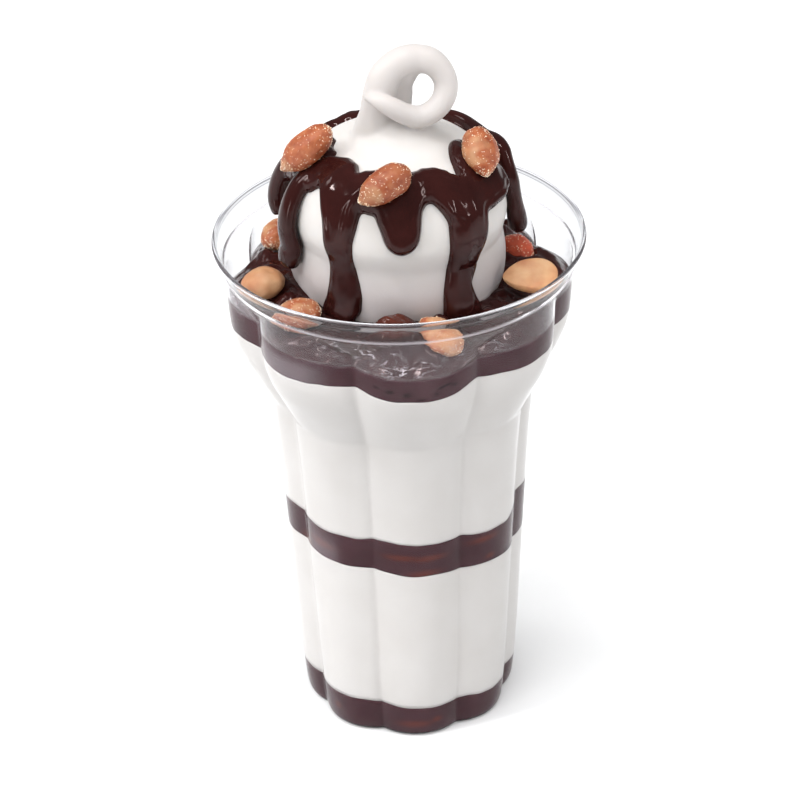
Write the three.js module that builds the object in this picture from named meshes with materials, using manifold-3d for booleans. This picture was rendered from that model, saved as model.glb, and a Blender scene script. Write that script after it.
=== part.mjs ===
// Ice cream sundae in a clear cup: layers of soft serve and hot fudge, a piped dome with a tail
// curled into a loop, fudge running down the dome, and roasted peanuts.
// Millimetres, +Z up, origin at the middle of the cup's foot. The front is towards -Y, and an
// angle is counted in degrees from the front towards +X.
import * as THREE from "three";
import { mergeVertices } from "three/addons/utils/BufferGeometryUtils.js";
import Module from "manifold-3d";

const wasm = await Module();
wasm.setup();

// Driving dimensions of the cup
const RIM_RADIUS = 49;
const CUP_HEIGHT = 142.3;
const WALL = 0.8;
const LOBES = 8;
const LOBE_STEP = 360 / LOBES;
const FIRST_GROOVE = 27.7;
const COLUMNS_PER_LOBE = 6;
const COLUMNS = LOBES * COLUMNS_PER_LOBE;
const GAP = 0.35;

// The cup's wall: height, radius on the crest of a lobe, and radius in the groove beside it
const CUP_LEVELS = [
  [0, 27.0, 24.8],
  [0.8, 28.4, 26.1],
  [3, 29.1, 26.7],
  [50, 32.1, 29.8],
  [97, 35.4, 33.0],
  [100, 36.8, 34.2],
  [106, 39.8, 36.8],
  [112, 42.9, 39.4],
  [118, 44.9, 41.0],
  [124, 45.5, 41.5],
  [128, 45.7, 41.7],
  [136, 46.1, 42.0],
];
const SPANDREL_FOOT = { height: 128, radius: 41.7 };
const RING = { height: 136, radius: 46.2 };
const BAND_TOP = { height: 140.4, radius: 47.6 };
const BEAD_RADIUS = 0.95;
const BEAD_TURNS = [-60, 0, 60, 120];
const FOOT_RECESS = { depth: 0.5, radius: 20 };
const FLOOR_HEIGHT = 1.3;
const FLOOR_FILLET = { height: 3, width: 1 };

// The layers of filling, at the wall: height on the axis, and rise per millimetre of X and of Y
const BASE_FUDGE_TOP = { height: 9.4, slopeX: -0.044, slopeY: -0.037 };
const MIDDLE_FUDGE_BOTTOM = { height: 54.4, slopeX: -0.07, slopeY: -0.054 };
const MIDDLE_FUDGE_TOP = { height: 64.2, slopeX: -0.043, slopeY: -0.063 };
const TOP_FUDGE_BOTTOM = 120.2;
const LOWER_CREAM_LEVELS = [25, 40];
const UPPER_CREAM_LEVELS = { above: 90, below: 115 };
const FRONT_LOBE_DIP = { angle: 5, width: 17, depth: 2.6 };

// The pool of fudge round the dome: its height at the wall and beside the dome, by angle
const POOL_AT_WALL = [
  [-180, 127], [-120, 127.4], [-85, 128.6], [-40, 127.4], [5, 124.6], [45, 127.2], [90, 128.4], [130, 127.2],
];
const POOL_AT_DOME = [
  [-180, 132.6], [-115, 134.6], [-75, 134.2], [-35, 131.6], [5, 131.6], [50, 132], [90, 134], [140, 132.4],
];
const POOL_EDGE_HEIGHT = 124;
const POOL_RINGS = [0.3, 0.65];
const POOL_BUMPS = [
  { height: 0.45, times: 5, shift: 0, shiftInward: 7 },
  { height: 0.3, times: 9, shift: 1, shiftInward: 0 },
];
const SUNK_LUMP = { angle: -3, radius: 33.6, height: 131.2, size: 5.2 };

// The hollow in the pool that the dome stands in
const RECESS = { floor: 129.6, beyondDome: 2.2, narrowing: 0.8, lumpGap: 1 };

// The dome, from the middle of its top down to its foot: radius and height
const DOME_PROFILE = [
  [6, 172.6], [10.5, 171.8], [15.5, 170.3], [20, 167.9], [23.9, 164.4], [26.6, 160.1], [28.2, 155.4],
  [28.6, 151], [27.9, 147.8], [27.2, 145.8], [28, 143.4], [28.5, 139], [28.3, 134.4], [27.4, 130],
];
const DOME_CENTRE_X = -0.3;
const DOME_STEPS = 12;
const DOME_COLUMNS = 40;

// The dome was piped by hand: it isn't quite round, and its lower turn bulges less
const UNEVENNESS = { twofold: 0.35, threefold: 0.25, twist: 9, fullRadius: 20 };
const LOWER_TURN = { top: 146, share: 0.6, lean: 0.25 };

// The tail of soft serve: a neck that rises, loops over to the right and comes back in front of
// itself to a point; each entry is x, y, z and the radius there
const TAIL = [
  [-3.6, 0.2, 167.5, 11],
  [-3.8, 0.2, 172.4, 8.2],
  [-3.6, 0.2, 177.2, 7],
  [-2.7, 0.2, 182.2, 6.7],
  [-1.0, 0.1, 187.2, 6],
  [1.8, 0.0, 191.2, 4.6],
  [6.2, -0.4, 192.9, 3.8],
  [10.6, -1.0, 190.7, 3.5],
  [12.7, -1.8, 185.9, 3.25],
  [11.5, -3.0, 181.0, 3.2],
  [7.6, -4.4, 178.0, 3.15],
  [2.6, -6.2, 179.3, 3.05],
  [-2.6, -7.4, 181.9, 2.4],
  [-7.4, -7.2, 184.4, 0.6],
];
const TAIL_SIDES = 10;
const TAIL_STEPS = 24;

// The sauce on the dome: its upper edge as a distance from the axis, by angle
const SAUCE_UPPER_EDGE = [
  [-180, 19.6], [-152, 19.8], [-130, 22.4], [-112, 22.2], [-98, 17.6], [-70, 19], [-54, 16.2], [-40, 15.8],
  [-29, 18.4], [-15, 17.2], [11, 18.4], [22, 16.6], [33, 17.8], [43, 20.6], [53, 17], [72, 17.4], [95, 18.6],
  [125, 18.4], [150, 20.4],
];

// Its lower edge, between the runs, as a height
const SAUCE_LOWER_EDGE = [
  [-180, 161], [-150, 162.6], [-125, 160], [-97, 158], [-80, 160.5], [-55, 163.4], [-36, 160], [-18, 162],
  [0, 160], [20.5, 163], [34, 159], [52, 157.6], [80, 158.6], [105, 162], [125, 159], [140, 162.6],
  [158, 160],
];
const SAUCE_THICKNESS = 2.9;

// A section through the sauce, from its upper edge to its lower one: share of the way down, and
// height off the dome as a share of the thickness
const SAUCE_SECTION = [[0, -1], [0.05, 0.6], [0.5, 1], [0.95, 0.7], [1, -1]];
const NUT_BED = { size: 5.4, inward: 2.4, below: 2.6 };

// The runs of sauce: angle at the top and at the foot, height of the foot, width at the top, in
// the middle and near the foot, and how far they stand off the dome
const DRIPS = [
  { from: -98, to: -95, foot: 146.5, widths: [10, 8, 6.5], stands: 5.6 },
  { from: -73, to: -69, foot: 140.4, widths: [9, 6, 6.4], stands: 3.6 },
  { from: -35, to: -31.5, foot: 128, widths: [11, 7.4, 12], stands: 3 },
  { from: 1, to: 2.5, foot: 152.2, widths: [14, 10.5, 8.4], stands: 3.2 },
  { from: 38, to: 35, foot: 128, widths: [12, 9, 13], stands: 3.1 },
  { from: 88, to: 90, foot: 143.4, widths: [10, 6.5, 7.8], stands: 5 },
  { from: 122, to: 124, foot: 147, widths: [10, 7, 6.4], stands: 3.1 },
  { from: 158, to: 155, foot: 128, widths: [11, 7.4, 9.6], stands: 2.8 },
  { from: -176, to: -177, foot: 151.5, widths: [11, 8.4, 7], stands: 3 },
  { from: -138, to: -141, foot: 138, widths: [10, 6.6, 7.4], stands: 3 },
];
const DRIP_SIDES = 8;
const DRIP_STEPS = 7;

// Every run starts under the band of sauce, stands off least at its top, and either has a round
// foot or goes on down into the pool
const DRIP_START_RADIUS = 22;
const DRIP_FLANK = 0.7;
const DRIP_TOP_SHARE = 0.75;
const DRIP_ROUNDING = { from: 0.86, length: 0.15 };
const POOLED_FOOT = { below: 129, height: 130.2 };

// Thick lumps of sauce: angle, height, distance from the axis and size
const SAUCE_LUMPS = [
  { angle: -86, height: 163, radius: 26.5, size: 6 },
  { angle: 76, height: 164.5, radius: 25, size: 6.4 },
  { angle: 62, height: 158.5, radius: 27, size: 4.6 },
  { angle: -160, height: 163, radius: 25, size: 5 },
];
const LUMP_SIDES = 8;
const LUMP_RINGS = 6;

// The peanuts: angle, distance from the axis (radius) and height (z) of the middle; lean of the rest
// face from level, towards its own angle or the one that leans names; turn of the long axis within
// that face; and length, width and thickness
const PEANUTS = [
  { name: "dome_left", angle: -71.7, radius: 24.2, z: 172, lean: 42, turn: 78, size: [17.4, 9.2, 8.6] },
  { name: "dome_front", angle: -7.5, radius: 25.6, z: 170.2, lean: 45, turn: 38, size: [15.4, 9.2, 8.6] },
  { name: "dome_right", angle: 62.7, radius: 24, z: 171.6, lean: 45, turn: 48, size: [14.6, 9.8, 8.6] },
  { name: "dome_back_left", angle: -150, radius: 33.4, z: 153, lean: 84, turn: -20, size: [16, 9.2, 8.4] },
  { name: "dome_back_right", angle: 137, radius: 33, z: 154, lean: 82, turn: 20, size: [15.4, 9.4, 8.6] },
  { name: "pool_left", angle: -72, radius: 37.6, z: 136.4, lean: 12, turn: 58, size: [12.6, 9.2, 8.2] },
  { name: "pool_front_left", angle: -44.5, radius: 36.6, z: 134.2, lean: 14, turn: 48, size: [13, 9, 8.2] },
  { name: "pool_far_left", angle: -112, radius: 34.4, z: 136.6, lean: 8, turn: 4, size: [13, 8.8, 8.2] },
  { name: "pool_right", angle: 104, radius: 33.7, z: 132.6, lean: 6, turn: 8, size: [13.6, 8.8, 8.4] },
  {
    name: "pool_near_right", angle: 66, radius: 37, z: 137.4, lean: 32, leans: 0, turn: 2,
    size: [15.6, 9.6, 6.2],
  },
  { name: "pool_front", angle: 16.5, radius: 35, z: 130.6, lean: 28, turn: -60, size: [13.8, 9.6, 8.4] },
  { name: "pool_back_right", angle: 139, radius: 37, z: 135, lean: 12, turn: -25, size: [14.6, 9, 8.4] },
  { name: "pool_back", angle: 176, radius: 37.2, z: 134.8, lean: 14, turn: 15, size: [13.6, 9.2, 8.2] },
  { name: "pool_back_left", angle: -148, radius: 37, z: 135.6, lean: 12, turn: 40, size: [15.2, 9.2, 8.4] },
];
const KERNEL_STATIONS = [-0.94, -0.72, -0.34, 0.08, 0.46, 0.78];
const KERNEL_SIDES = 8;
const KERNEL_TAPER = 0.13;

const COLOURS = {
  cup: { color: 0xf2f5f6, roughness: 0.08, metalness: 0, transparent: true, opacity: 0.3 },
  cream: { color: 0xefebe6, roughness: 0.5, metalness: 0 },
  fudge: { color: 0x35191a, roughness: 0.18, metalness: 0 },
  peanut: { color: 0xc57a48, roughness: 0.55, metalness: 0 },
};

const radians = THREE.MathUtils.degToRad;

// A point at an angle from the front, a distance from the axis and a height
function polar(angle, radius, height, centreX = 0) {
  const turn = radians(angle);
  return new THREE.Vector3(centreX + radius * Math.sin(turn), -radius * Math.cos(turn), height);
}

// The directions at an angle: out from the axis, and round towards greater angles
function outward(angle) {
  return polar(angle, 1, 0);
}

function around(angle) {
  return new THREE.Vector3(Math.cos(radians(angle)), Math.sin(radians(angle)), 0);
}

// A smooth value round the circle through [angle, value] pairs in rising order
function roundValue(table, angle) {
  const wrapped = THREE.MathUtils.euclideanModulo(angle - table[0][0], 360) + table[0][0];
  let index = table.length - 1;
  while (table[index][0] > wrapped) index -= 1;
  const [start, low] = table[index];
  const last = index === table.length - 1;
  const [nextAngle, high] = last ? [table[0][0] + 360, table[0][1]] : table[index + 1];
  const part = (wrapped - start) / (nextAngle - start);
  return THREE.MathUtils.lerp(low, high, part * part * (3 - 2 * part));
}

// A closed body through a stack of rings of points; a ring of one point closes an end
function skin(rings) {
  const points = [];
  const starts = rings.map((ring) => points.push(...ring) - ring.length);
  const faces = [];
  for (let row = 0; row + 1 < rings.length; row += 1) {
    const [low, high] = [rings[row], rings[row + 1]];
    const count = Math.max(low.length, high.length);
    for (let i = 0; i < count; i += 1) {
      const next = (i + 1) % count;
      const a = starts[row] + (low.length === 1 ? 0 : i);
      const b = starts[row] + (low.length === 1 ? 0 : next);
      const c = starts[row + 1] + (high.length === 1 ? 0 : next);
      const d = starts[row + 1] + (high.length === 1 ? 0 : i);
      if (low.length > 1) faces.push(a, b, c);
      if (high.length > 1) faces.push(a, c, d);
    }
  }
  return indexed(points, faces);
}

function indexed(points, faces) {
  const geometry = new THREE.BufferGeometry();
  const numbers = points.flatMap((point) => [point.x, point.y, point.z]);
  geometry.setAttribute("position", new THREE.Float32BufferAttribute(numbers, 3));
  geometry.setIndex(faces);
  return geometry;
}

function toSolid(geometry) {
  const bare = geometry.clone();
  bare.deleteAttribute("normal");
  bare.deleteAttribute("uv");
  const merged = mergeVertices(bare, 1e-4);
  const mesh = new wasm.Mesh({
    numProp: 3,
    vertProperties: new Float32Array(merged.attributes.position.array),
    triVerts: new Uint32Array(merged.index.array),
  });
  return new wasm.Manifold(mesh);
}

function toGeometry(solid) {
  const mesh = solid.getMesh();
  const geometry = new THREE.BufferGeometry();
  geometry.setAttribute("position", new THREE.Float32BufferAttribute(mesh.vertProperties, mesh.numProp));
  geometry.setIndex(Array.from(mesh.triVerts));
  return geometry;
}

// The cup

function levelRadii(height) {
  const above = CUP_LEVELS.findIndex(([level]) => level >= height);
  if (above <= 0) return CUP_LEVELS[above < 0 ? CUP_LEVELS.length - 1 : 0].slice(1);
  const [lowLevel, lowCrest, lowGroove] = CUP_LEVELS[above - 1];
  const [highLevel, highCrest, highGroove] = CUP_LEVELS[above];
  const part = (height - lowLevel) / (highLevel - lowLevel);
  return [THREE.MathUtils.lerp(lowCrest, highCrest, part), THREE.MathUtils.lerp(lowGroove, highGroove, part)];
}

// One lobe is an arc of a circle through its two grooves and its crest
function lobedRadius(angle, crest, groove) {
  const half = radians(LOBE_STEP / 2);
  const fromGroove = THREE.MathUtils.euclideanModulo(angle - FIRST_GROOVE, LOBE_STEP);
  const turn = radians(fromGroove) - half;
  const rise = crest - groove * Math.cos(half);
  const chord = groove * Math.sin(half);
  const arc = (chord * chord + rise * rise) / (2 * rise);
  const centre = crest - arc;
  return centre * Math.cos(turn) + Math.sqrt(arc * arc - (centre * Math.sin(turn)) ** 2);
}

// Near the rim a cone fills the grooves, and leaves pointed spandrels between the lobes
function spandrelRadius(height) {
  const part = (height - SPANDREL_FOOT.height) / (RING.height - SPANDREL_FOOT.height);
  return THREE.MathUtils.lerp(SPANDREL_FOOT.radius, RING.radius, THREE.MathUtils.clamp(part, 0, 1));
}

function cupRadius(angle, height) {
  const [crest, groove] = levelRadii(height);
  const lobed = lobedRadius(angle, crest, groove);
  return height > SPANDREL_FOOT.height ? Math.max(lobed, spandrelRadius(height)) : lobed;
}

function columnAngles(count = COLUMNS) {
  return Array.from({ length: count }, (_, i) => FIRST_GROOVE + (360 * i) / count);
}

function ring(radiusAt, heightAt) {
  return columnAngles().map((angle) => polar(angle, radiusAt(angle), heightAt(angle)));
}

function level(radius, height) {
  return ring(() => radius, () => height);
}

function makeCup() {
  const wallLevels = CUP_LEVELS.map(([height]) => height).filter((height) => height < RING.height);
  const outside = wallLevels.map((height) => ring((angle) => cupRadius(angle, height), () => height));
  const insideLevels = wallLevels.filter((height) => height > FLOOR_HEIGHT).reverse();
  const inside = insideLevels.map((height) => ring((angle) => cupRadius(angle, height) - WALL, () => height));
  const beadHeight = CUP_HEIGHT - BEAD_RADIUS;
  const beadCentre = RIM_RADIUS - BEAD_RADIUS;
  const bead = BEAD_TURNS.map((turn) => {
    const side = radians(turn);
    return level(beadCentre + BEAD_RADIUS * Math.cos(side), beadHeight + BEAD_RADIUS * Math.sin(side));
  });
  return skin([
    [new THREE.Vector3(0, 0, FOOT_RECESS.depth)],
    level(FOOT_RECESS.radius, FOOT_RECESS.depth),
    level(FOOT_RECESS.radius + FOOT_RECESS.depth, 0),
    ...outside,
    level(RING.radius, RING.height),
    level(BAND_TOP.radius, BAND_TOP.height),
    ...bead,
    level(BAND_TOP.radius - WALL, BAND_TOP.height),
    level(RING.radius - WALL, RING.height),
    ...inside,
    ring((angle) => cupRadius(angle, FLOOR_FILLET.height) - WALL - FLOOR_FILLET.width, () => FLOOR_HEIGHT),
    [new THREE.Vector3(0, 0, FLOOR_HEIGHT)],
  ]);
}

// The filling

function fillRadius(angle, height) {
  return cupRadius(angle, height) - WALL - GAP;
}

// A layer's edge at the wall, where its level is tilted
function tilted(plane) {
  return (angle) => {
    const [crest] = levelRadii(plane.height);
    const place = polar(angle, crest, 0);
    return plane.height + plane.slopeX * place.x + plane.slopeY * place.y;
  };
}

function shifted(heightAt, by) {
  return (angle) => heightAt(angle) + by;
}

function wallRing(heightAt) {
  return ring((angle) => fillRadius(angle, heightAt(angle)), heightAt);
}

function makeLayer(bottomAt, topAt, levels, bottomMiddle, topMiddle) {
  return skin([
    [new THREE.Vector3(0, 0, bottomMiddle)],
    wallRing(bottomAt),
    ...levels.map((height) => wallRing(() => height)),
    wallRing(topAt),
    [new THREE.Vector3(0, 0, topMiddle)],
  ]);
}

function topFudgeBottom(angle) {
  const away = THREE.MathUtils.euclideanModulo(angle - FRONT_LOBE_DIP.angle + 180, 360) - 180;
  return TOP_FUDGE_BOTTOM - FRONT_LOBE_DIP.depth * Math.exp(-((away / FRONT_LOBE_DIP.width) ** 4));
}

function makeBaseFudge() {
  const foot = FLOOR_HEIGHT + GAP;
  return skin([
    [new THREE.Vector3(0, 0, foot)],
    ring((angle) => fillRadius(angle, FLOOR_FILLET.height) - FLOOR_FILLET.width, () => foot),
    wallRing(() => FLOOR_FILLET.height),
    wallRing(tilted(BASE_FUDGE_TOP)),
    [new THREE.Vector3(0, 0, BASE_FUDGE_TOP.height)],
  ]);
}

function makeLowerCream() {
  const bottom = shifted(tilted(BASE_FUDGE_TOP), GAP);
  const top = shifted(tilted(MIDDLE_FUDGE_BOTTOM), -GAP);
  const [low, high] = [BASE_FUDGE_TOP.height + GAP, MIDDLE_FUDGE_BOTTOM.height - GAP];
  return makeLayer(bottom, top, LOWER_CREAM_LEVELS, low, high);
}

function makeMiddleFudge() {
  const [bottom, top] = [MIDDLE_FUDGE_BOTTOM, MIDDLE_FUDGE_TOP];
  return makeLayer(tilted(bottom), tilted(top), [], bottom.height, top.height);
}

function makeUpperCream() {
  const bottom = shifted(tilted(MIDDLE_FUDGE_TOP), GAP);
  const top = shifted(topFudgeBottom, -GAP);
  const { above, below } = UPPER_CREAM_LEVELS;
  const levels = CUP_LEVELS.map(([height]) => height).filter((height) => height > above && height < below);
  return makeLayer(bottom, top, levels, MIDDLE_FUDGE_TOP.height + GAP, TOP_FUDGE_BOTTOM - GAP);
}

// The dome

function domeCurve() {
  const points = DOME_PROFILE.map(([radius, height]) => new THREE.Vector3(radius, height, 0));
  return new THREE.CatmullRomCurve3(points, false, "centripetal");
}

const domeRows = domeCurve().getSpacedPoints(DOME_STEPS).map((point) => [point.x, point.y]);

function domeUnevenness(angle, height) {
  const turn = radians(angle);
  const twofold = UNEVENNESS.twofold * Math.sin(2 * turn + 0.6);
  const upper = twofold + UNEVENNESS.threefold * Math.sin(3 * turn + height / UNEVENNESS.twist);
  return height > LOWER_TURN.top ? upper : LOWER_TURN.share * upper - LOWER_TURN.lean * Math.sin(turn);
}

function domePoint(angle, row, grow = 0) {
  const [radius, height] = domeRows[row];
  const [r0, z0] = domeRows[Math.max(row - 1, 0)];
  const [r1, z1] = domeRows[Math.min(row + 1, DOME_STEPS)];
  const length = Math.hypot(r1 - r0, z1 - z0);
  const share = Math.min(radius / UNEVENNESS.fullRadius, 1);
  const out = radius + share * domeUnevenness(angle, height) + (grow * (z0 - z1)) / length;
  return polar(angle, out, height + (grow * (r1 - r0)) / length, DOME_CENTRE_X);
}

function makeDomeBody(grow) {
  const rows = [];
  for (let row = DOME_STEPS; row >= 0; row -= 1) {
    rows.push(columnAngles(DOME_COLUMNS).map((angle) => domePoint(angle, row, grow)));
  }
  const foot = DOME_PROFILE[DOME_PROFILE.length - 1][1];
  const crown = DOME_PROFILE[0][1] + grow;
  return skin([
    [new THREE.Vector3(DOME_CENTRE_X, 0, foot - grow)],
    ...rows,
    [new THREE.Vector3(DOME_CENTRE_X, 0, crown)],
  ]);
}

function sweep(stations, sides, steps) {
  const path = new THREE.CatmullRomCurve3(stations.map(([x, y, z]) => new THREE.Vector3(x, y, z)));
  const rings = [];
  for (let step = 0; step <= steps; step += 1) {
    const part = step / steps;
    const centre = path.getPoint(part);
    const along = path.getTangent(part);
    const across = new THREE.Vector3(0, 1, 0).cross(along).normalize();
    const over = along.clone().cross(across).normalize();
    const place = part * (stations.length - 1);
    const index = Math.min(Math.floor(place), stations.length - 2);
    const radius = THREE.MathUtils.lerp(stations[index][3], stations[index + 1][3], place - index);
    rings.push(Array.from({ length: sides }, (_, i) => {
      const turn = (2 * Math.PI * i) / sides;
      const point = centre.clone().addScaledVector(across, radius * Math.cos(turn));
      return point.addScaledVector(over, radius * Math.sin(turn));
    }));
  }
  return skin([[path.getPoint(0)], ...rings, [path.getPoint(1)]]);
}

function makeDome() {
  const tail = toSolid(sweep(TAIL, TAIL_SIDES, TAIL_STEPS));
  return toSolid(makeDomeBody(0)).add(tail);
}

// The sauce on the dome

function domeRowAt(test) {
  const row = domeRows.findIndex(test);
  return row < 0 ? DOME_STEPS : row;
}

// The dome's surface at an angle and a place counted in rows from the top, with its directions
function surfaceFrame(angle, place) {
  const low = Math.min(Math.floor(place), DOME_STEPS - 1);
  const part = place - low;
  const point = domePoint(angle, low).lerp(domePoint(angle, low + 1), part);
  const down = domePoint(angle, low + 1).sub(domePoint(angle, low)).normalize();
  const side = around(angle);
  const normal = down.clone().cross(side).normalize();
  return { point, side, normal };
}

function placeOfHeight(height) {
  const row = domeRowAt(([, z]) => z <= height);
  const [z0, z1] = [domeRows[row - 1][1], domeRows[row][1]];
  return row - 1 + (z0 - height) / (z0 - z1);
}

function placeOfRadius(radius) {
  const row = domeRowAt(([r]) => r >= radius);
  const [r0, r1] = [domeRows[row - 1][0], domeRows[row][0]];
  return row - 1 + (radius - r0) / (r1 - r0);
}

// The band of sauce that rings the dome: at each angle a flattened section from edge to edge
function makeSauceBand() {
  const columns = columnAngles(DOME_COLUMNS).map((angle) => {
    const start = placeOfRadius(roundValue(SAUCE_UPPER_EDGE, angle));
    const end = placeOfHeight(roundValue(SAUCE_LOWER_EDGE, angle));
    return SAUCE_SECTION.map(([part, rise]) => {
      const { point, normal } = surfaceFrame(angle, THREE.MathUtils.lerp(start, end, part));
      return point.addScaledVector(normal, rise * SAUCE_THICKNESS);
    });
  });
  const points = columns.flat();
  const faces = [];
  const size = SAUCE_SECTION.length;
  for (let i = 0; i < DOME_COLUMNS; i += 1) {
    const next = (i + 1) % DOME_COLUMNS;
    for (let j = 0; j < size; j += 1) {
      const below = (j + 1) % size;
      const [a, b, c, d] = [i * size + j, i * size + below, next * size + below, next * size + j];
      faces.push(a, b, c, a, c, d);
    }
  }
  return indexed(points, faces);
}

function threeWay([first, middle, last], part) {
  const [start, end, share] = part < 0.5 ? [first, middle, part * 2] : [middle, last, part * 2 - 1];
  return THREE.MathUtils.lerp(start, end, share);
}

function makeDrip(drip) {
  const start = placeOfRadius(DRIP_START_RADIUS);
  const end = placeOfHeight(Math.max(drip.foot, POOLED_FOOT.height));
  const pooled = drip.foot < POOLED_FOOT.below;
  const rings = [];
  for (let step = 0; step <= DRIP_STEPS; step += 1) {
    const part = step / DRIP_STEPS;
    const angle = THREE.MathUtils.lerp(drip.from, drip.to, part);
    const frame = surfaceFrame(angle, THREE.MathUtils.lerp(start, end, part));
    const pastShoulder = Math.max(0, (part - DRIP_ROUNDING.from) / DRIP_ROUNDING.length);
    const rounding = pooled ? 1 : Math.sqrt(1 - pastShoulder ** 2);
    const half = (threeWay(drip.widths, part) / 2) * rounding;
    const rise = (drip.stands - DRIP_FLANK) * THREE.MathUtils.lerp(DRIP_TOP_SHARE, 1, part) * rounding;
    rings.push(Array.from({ length: DRIP_SIDES }, (_, i) => {
      const turn = (2 * Math.PI * (i + 0.5)) / DRIP_SIDES;
      const point = frame.point.clone().addScaledVector(frame.side, half * Math.cos(turn));
      return point.addScaledVector(frame.normal, DRIP_FLANK + rise * Math.sin(turn));
    }));
  }
  const last = surfaceFrame(drip.to, end).point;
  return skin([[surfaceFrame(drip.from, start).point], ...rings, [last]]);
}

function makeLump(lump) {
  const ball = new THREE.SphereGeometry(lump.size, LUMP_SIDES, LUMP_RINGS);
  const place = polar(lump.angle, lump.radius, lump.height);
  return ball.applyMatrix4(new THREE.Matrix4().makeTranslation(place));
}

// Each peanut on the dome lies in a thick bed of sauce
function nutBed(nut) {
  const [radius, height] = [nut.radius - NUT_BED.inward, nut.z - NUT_BED.below];
  return makeLump({ angle: nut.angle, radius, height, size: NUT_BED.size });
}

function makeSauce(pool, nuts) {
  let sauce = toSolid(makeSauceBand());
  const domeNuts = PEANUTS.filter(({ z }) => z > CUP_HEIGHT);
  for (const nut of domeNuts) sauce = sauce.add(toSolid(nutBed(nut)));
  for (const drip of DRIPS) sauce = sauce.add(toSolid(makeDrip(drip)));
  for (const lump of SAUCE_LUMPS) sauce = sauce.add(toSolid(makeLump(lump)));
  sauce = sauce.subtract(toSolid(makeDomeBody(GAP)));
  sauce = sauce.subtract(pool.translate([0, 0, GAP]));
  for (const nut of nuts) sauce = sauce.subtract(nut);
  return sauce;
}

// The pool of fudge round the dome

function makePool(nuts) {
  const atWall = (angle) => roundValue(POOL_AT_WALL, angle);
  const atDome = (angle) => roundValue(POOL_AT_DOME, angle);
  const bumpAt = (angle, part) => POOL_BUMPS.reduce((sum, wave) => {
    const turn = radians(wave.times * angle) + wave.shift + wave.shiftInward * part;
    return sum + wave.height * Math.sin(turn);
  }, 0);
  const between = (part) => (angle) => {
    const rise = THREE.MathUtils.lerp(atWall(angle), atDome(angle), part * (2 - part));
    return rise + bumpAt(angle, part);
  };
  const recess = DOME_PROFILE[DOME_PROFILE.length - 1][0] + RECESS.beyondDome;
  const rowAt = (part) => ring(
    (angle) => THREE.MathUtils.lerp(fillRadius(angle, atWall(angle)), recess, part),
    between(part),
  );
  const body = toSolid(skin([
    [new THREE.Vector3(0, 0, TOP_FUDGE_BOTTOM)],
    wallRing(topFudgeBottom),
    wallRing(() => POOL_EDGE_HEIGHT),
    wallRing(atWall),
    ...POOL_RINGS.map(rowAt),
    ring(() => recess, atDome),
    level(recess - RECESS.narrowing, RECESS.floor),
    [new THREE.Vector3(0, 0, RECESS.floor)],
  ]));
  const lump = toSolid(makeLump(SUNK_LUMP)).subtract(toSolid(makeDomeBody(RECESS.lumpGap)));
  let pool = body.add(lump);
  for (const nut of nuts) pool = pool.subtract(nut);
  return pool;
}

// The peanuts

// A kernel lies along X: one end is blunt and the other runs to a small point
function makeKernel([length, width, thickness], grow = 0) {
  const rings = KERNEL_STATIONS.map((x) => {
    const fat = Math.sqrt(1 - x * x) * (1 - KERNEL_TAPER * x);
    return Array.from({ length: KERNEL_SIDES }, (_, i) => {
      const turn = (2 * Math.PI * i) / KERNEL_SIDES;
      const y = fat * (width / 2 + grow) * Math.cos(turn);
      return new THREE.Vector3(x * (length / 2 + grow), y, fat * (thickness / 2 + grow) * Math.sin(turn));
    });
  });
  const half = length / 2 + grow;
  return skin([[new THREE.Vector3(-half, 0, 0)], ...rings, [new THREE.Vector3(half, 0, 0)]]);
}

function peanutPlace(nut) {
  const towards = nut.leans ?? nut.angle;
  const up = outward(towards).multiplyScalar(Math.sin(radians(nut.lean)));
  up.z = Math.cos(radians(nut.lean));
  const east = around(towards);
  const north = up.clone().cross(east);
  const turn = radians(nut.turn);
  const along = east.multiplyScalar(Math.cos(turn)).addScaledVector(north, Math.sin(turn));
  const across = up.clone().cross(along);
  const place = new THREE.Matrix4().makeBasis(along, across, up);
  return place.setPosition(polar(nut.angle, nut.radius, nut.z));
}

function peanutSocket(nut) {
  return toSolid(makeKernel(nut.size, GAP).applyMatrix4(peanutPlace(nut)));
}

const group = new THREE.Group();

function addNode(name, geometry, look) {
  const mesh = new THREE.Mesh(geometry, new THREE.MeshStandardMaterial(look));
  mesh.name = name;
  group.add(mesh);
  return mesh;
}

const sockets = PEANUTS.map(peanutSocket);
const dome = makeDome();
const pool = makePool(sockets);

addNode("cup", makeCup(), COLOURS.cup);
addNode("fudge_base", makeBaseFudge(), COLOURS.fudge);
addNode("ice_cream_lower", makeLowerCream(), COLOURS.cream);
addNode("fudge_middle", makeMiddleFudge(), COLOURS.fudge);
addNode("ice_cream_upper", makeUpperCream(), COLOURS.cream);
addNode("fudge_top", toGeometry(pool), COLOURS.fudge);
addNode("ice_cream_dome", toGeometry(dome), COLOURS.cream);
addNode("fudge_drape", toGeometry(makeSauce(pool, sockets)), COLOURS.fudge);
for (const nut of PEANUTS) {
  const mesh = addNode(`peanut_${nut.name}`, makeKernel(nut.size), COLOURS.peanut);
  const place = peanutPlace(nut);
  mesh.position.setFromMatrixPosition(place);
  mesh.quaternion.setFromRotationMatrix(place);
}

export default group;
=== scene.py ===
"""The looks of an ice cream sundae in a clear lobed cup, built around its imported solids.

Lengths are millimetres here and become metres when a mesh is made. +Z is up, the front of the sundae
is towards -Y, and an angle is counted in degrees from the front towards +X.
"""
import math

import bpy
import numpy as np
from mathutils import Matrix, Vector


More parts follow.
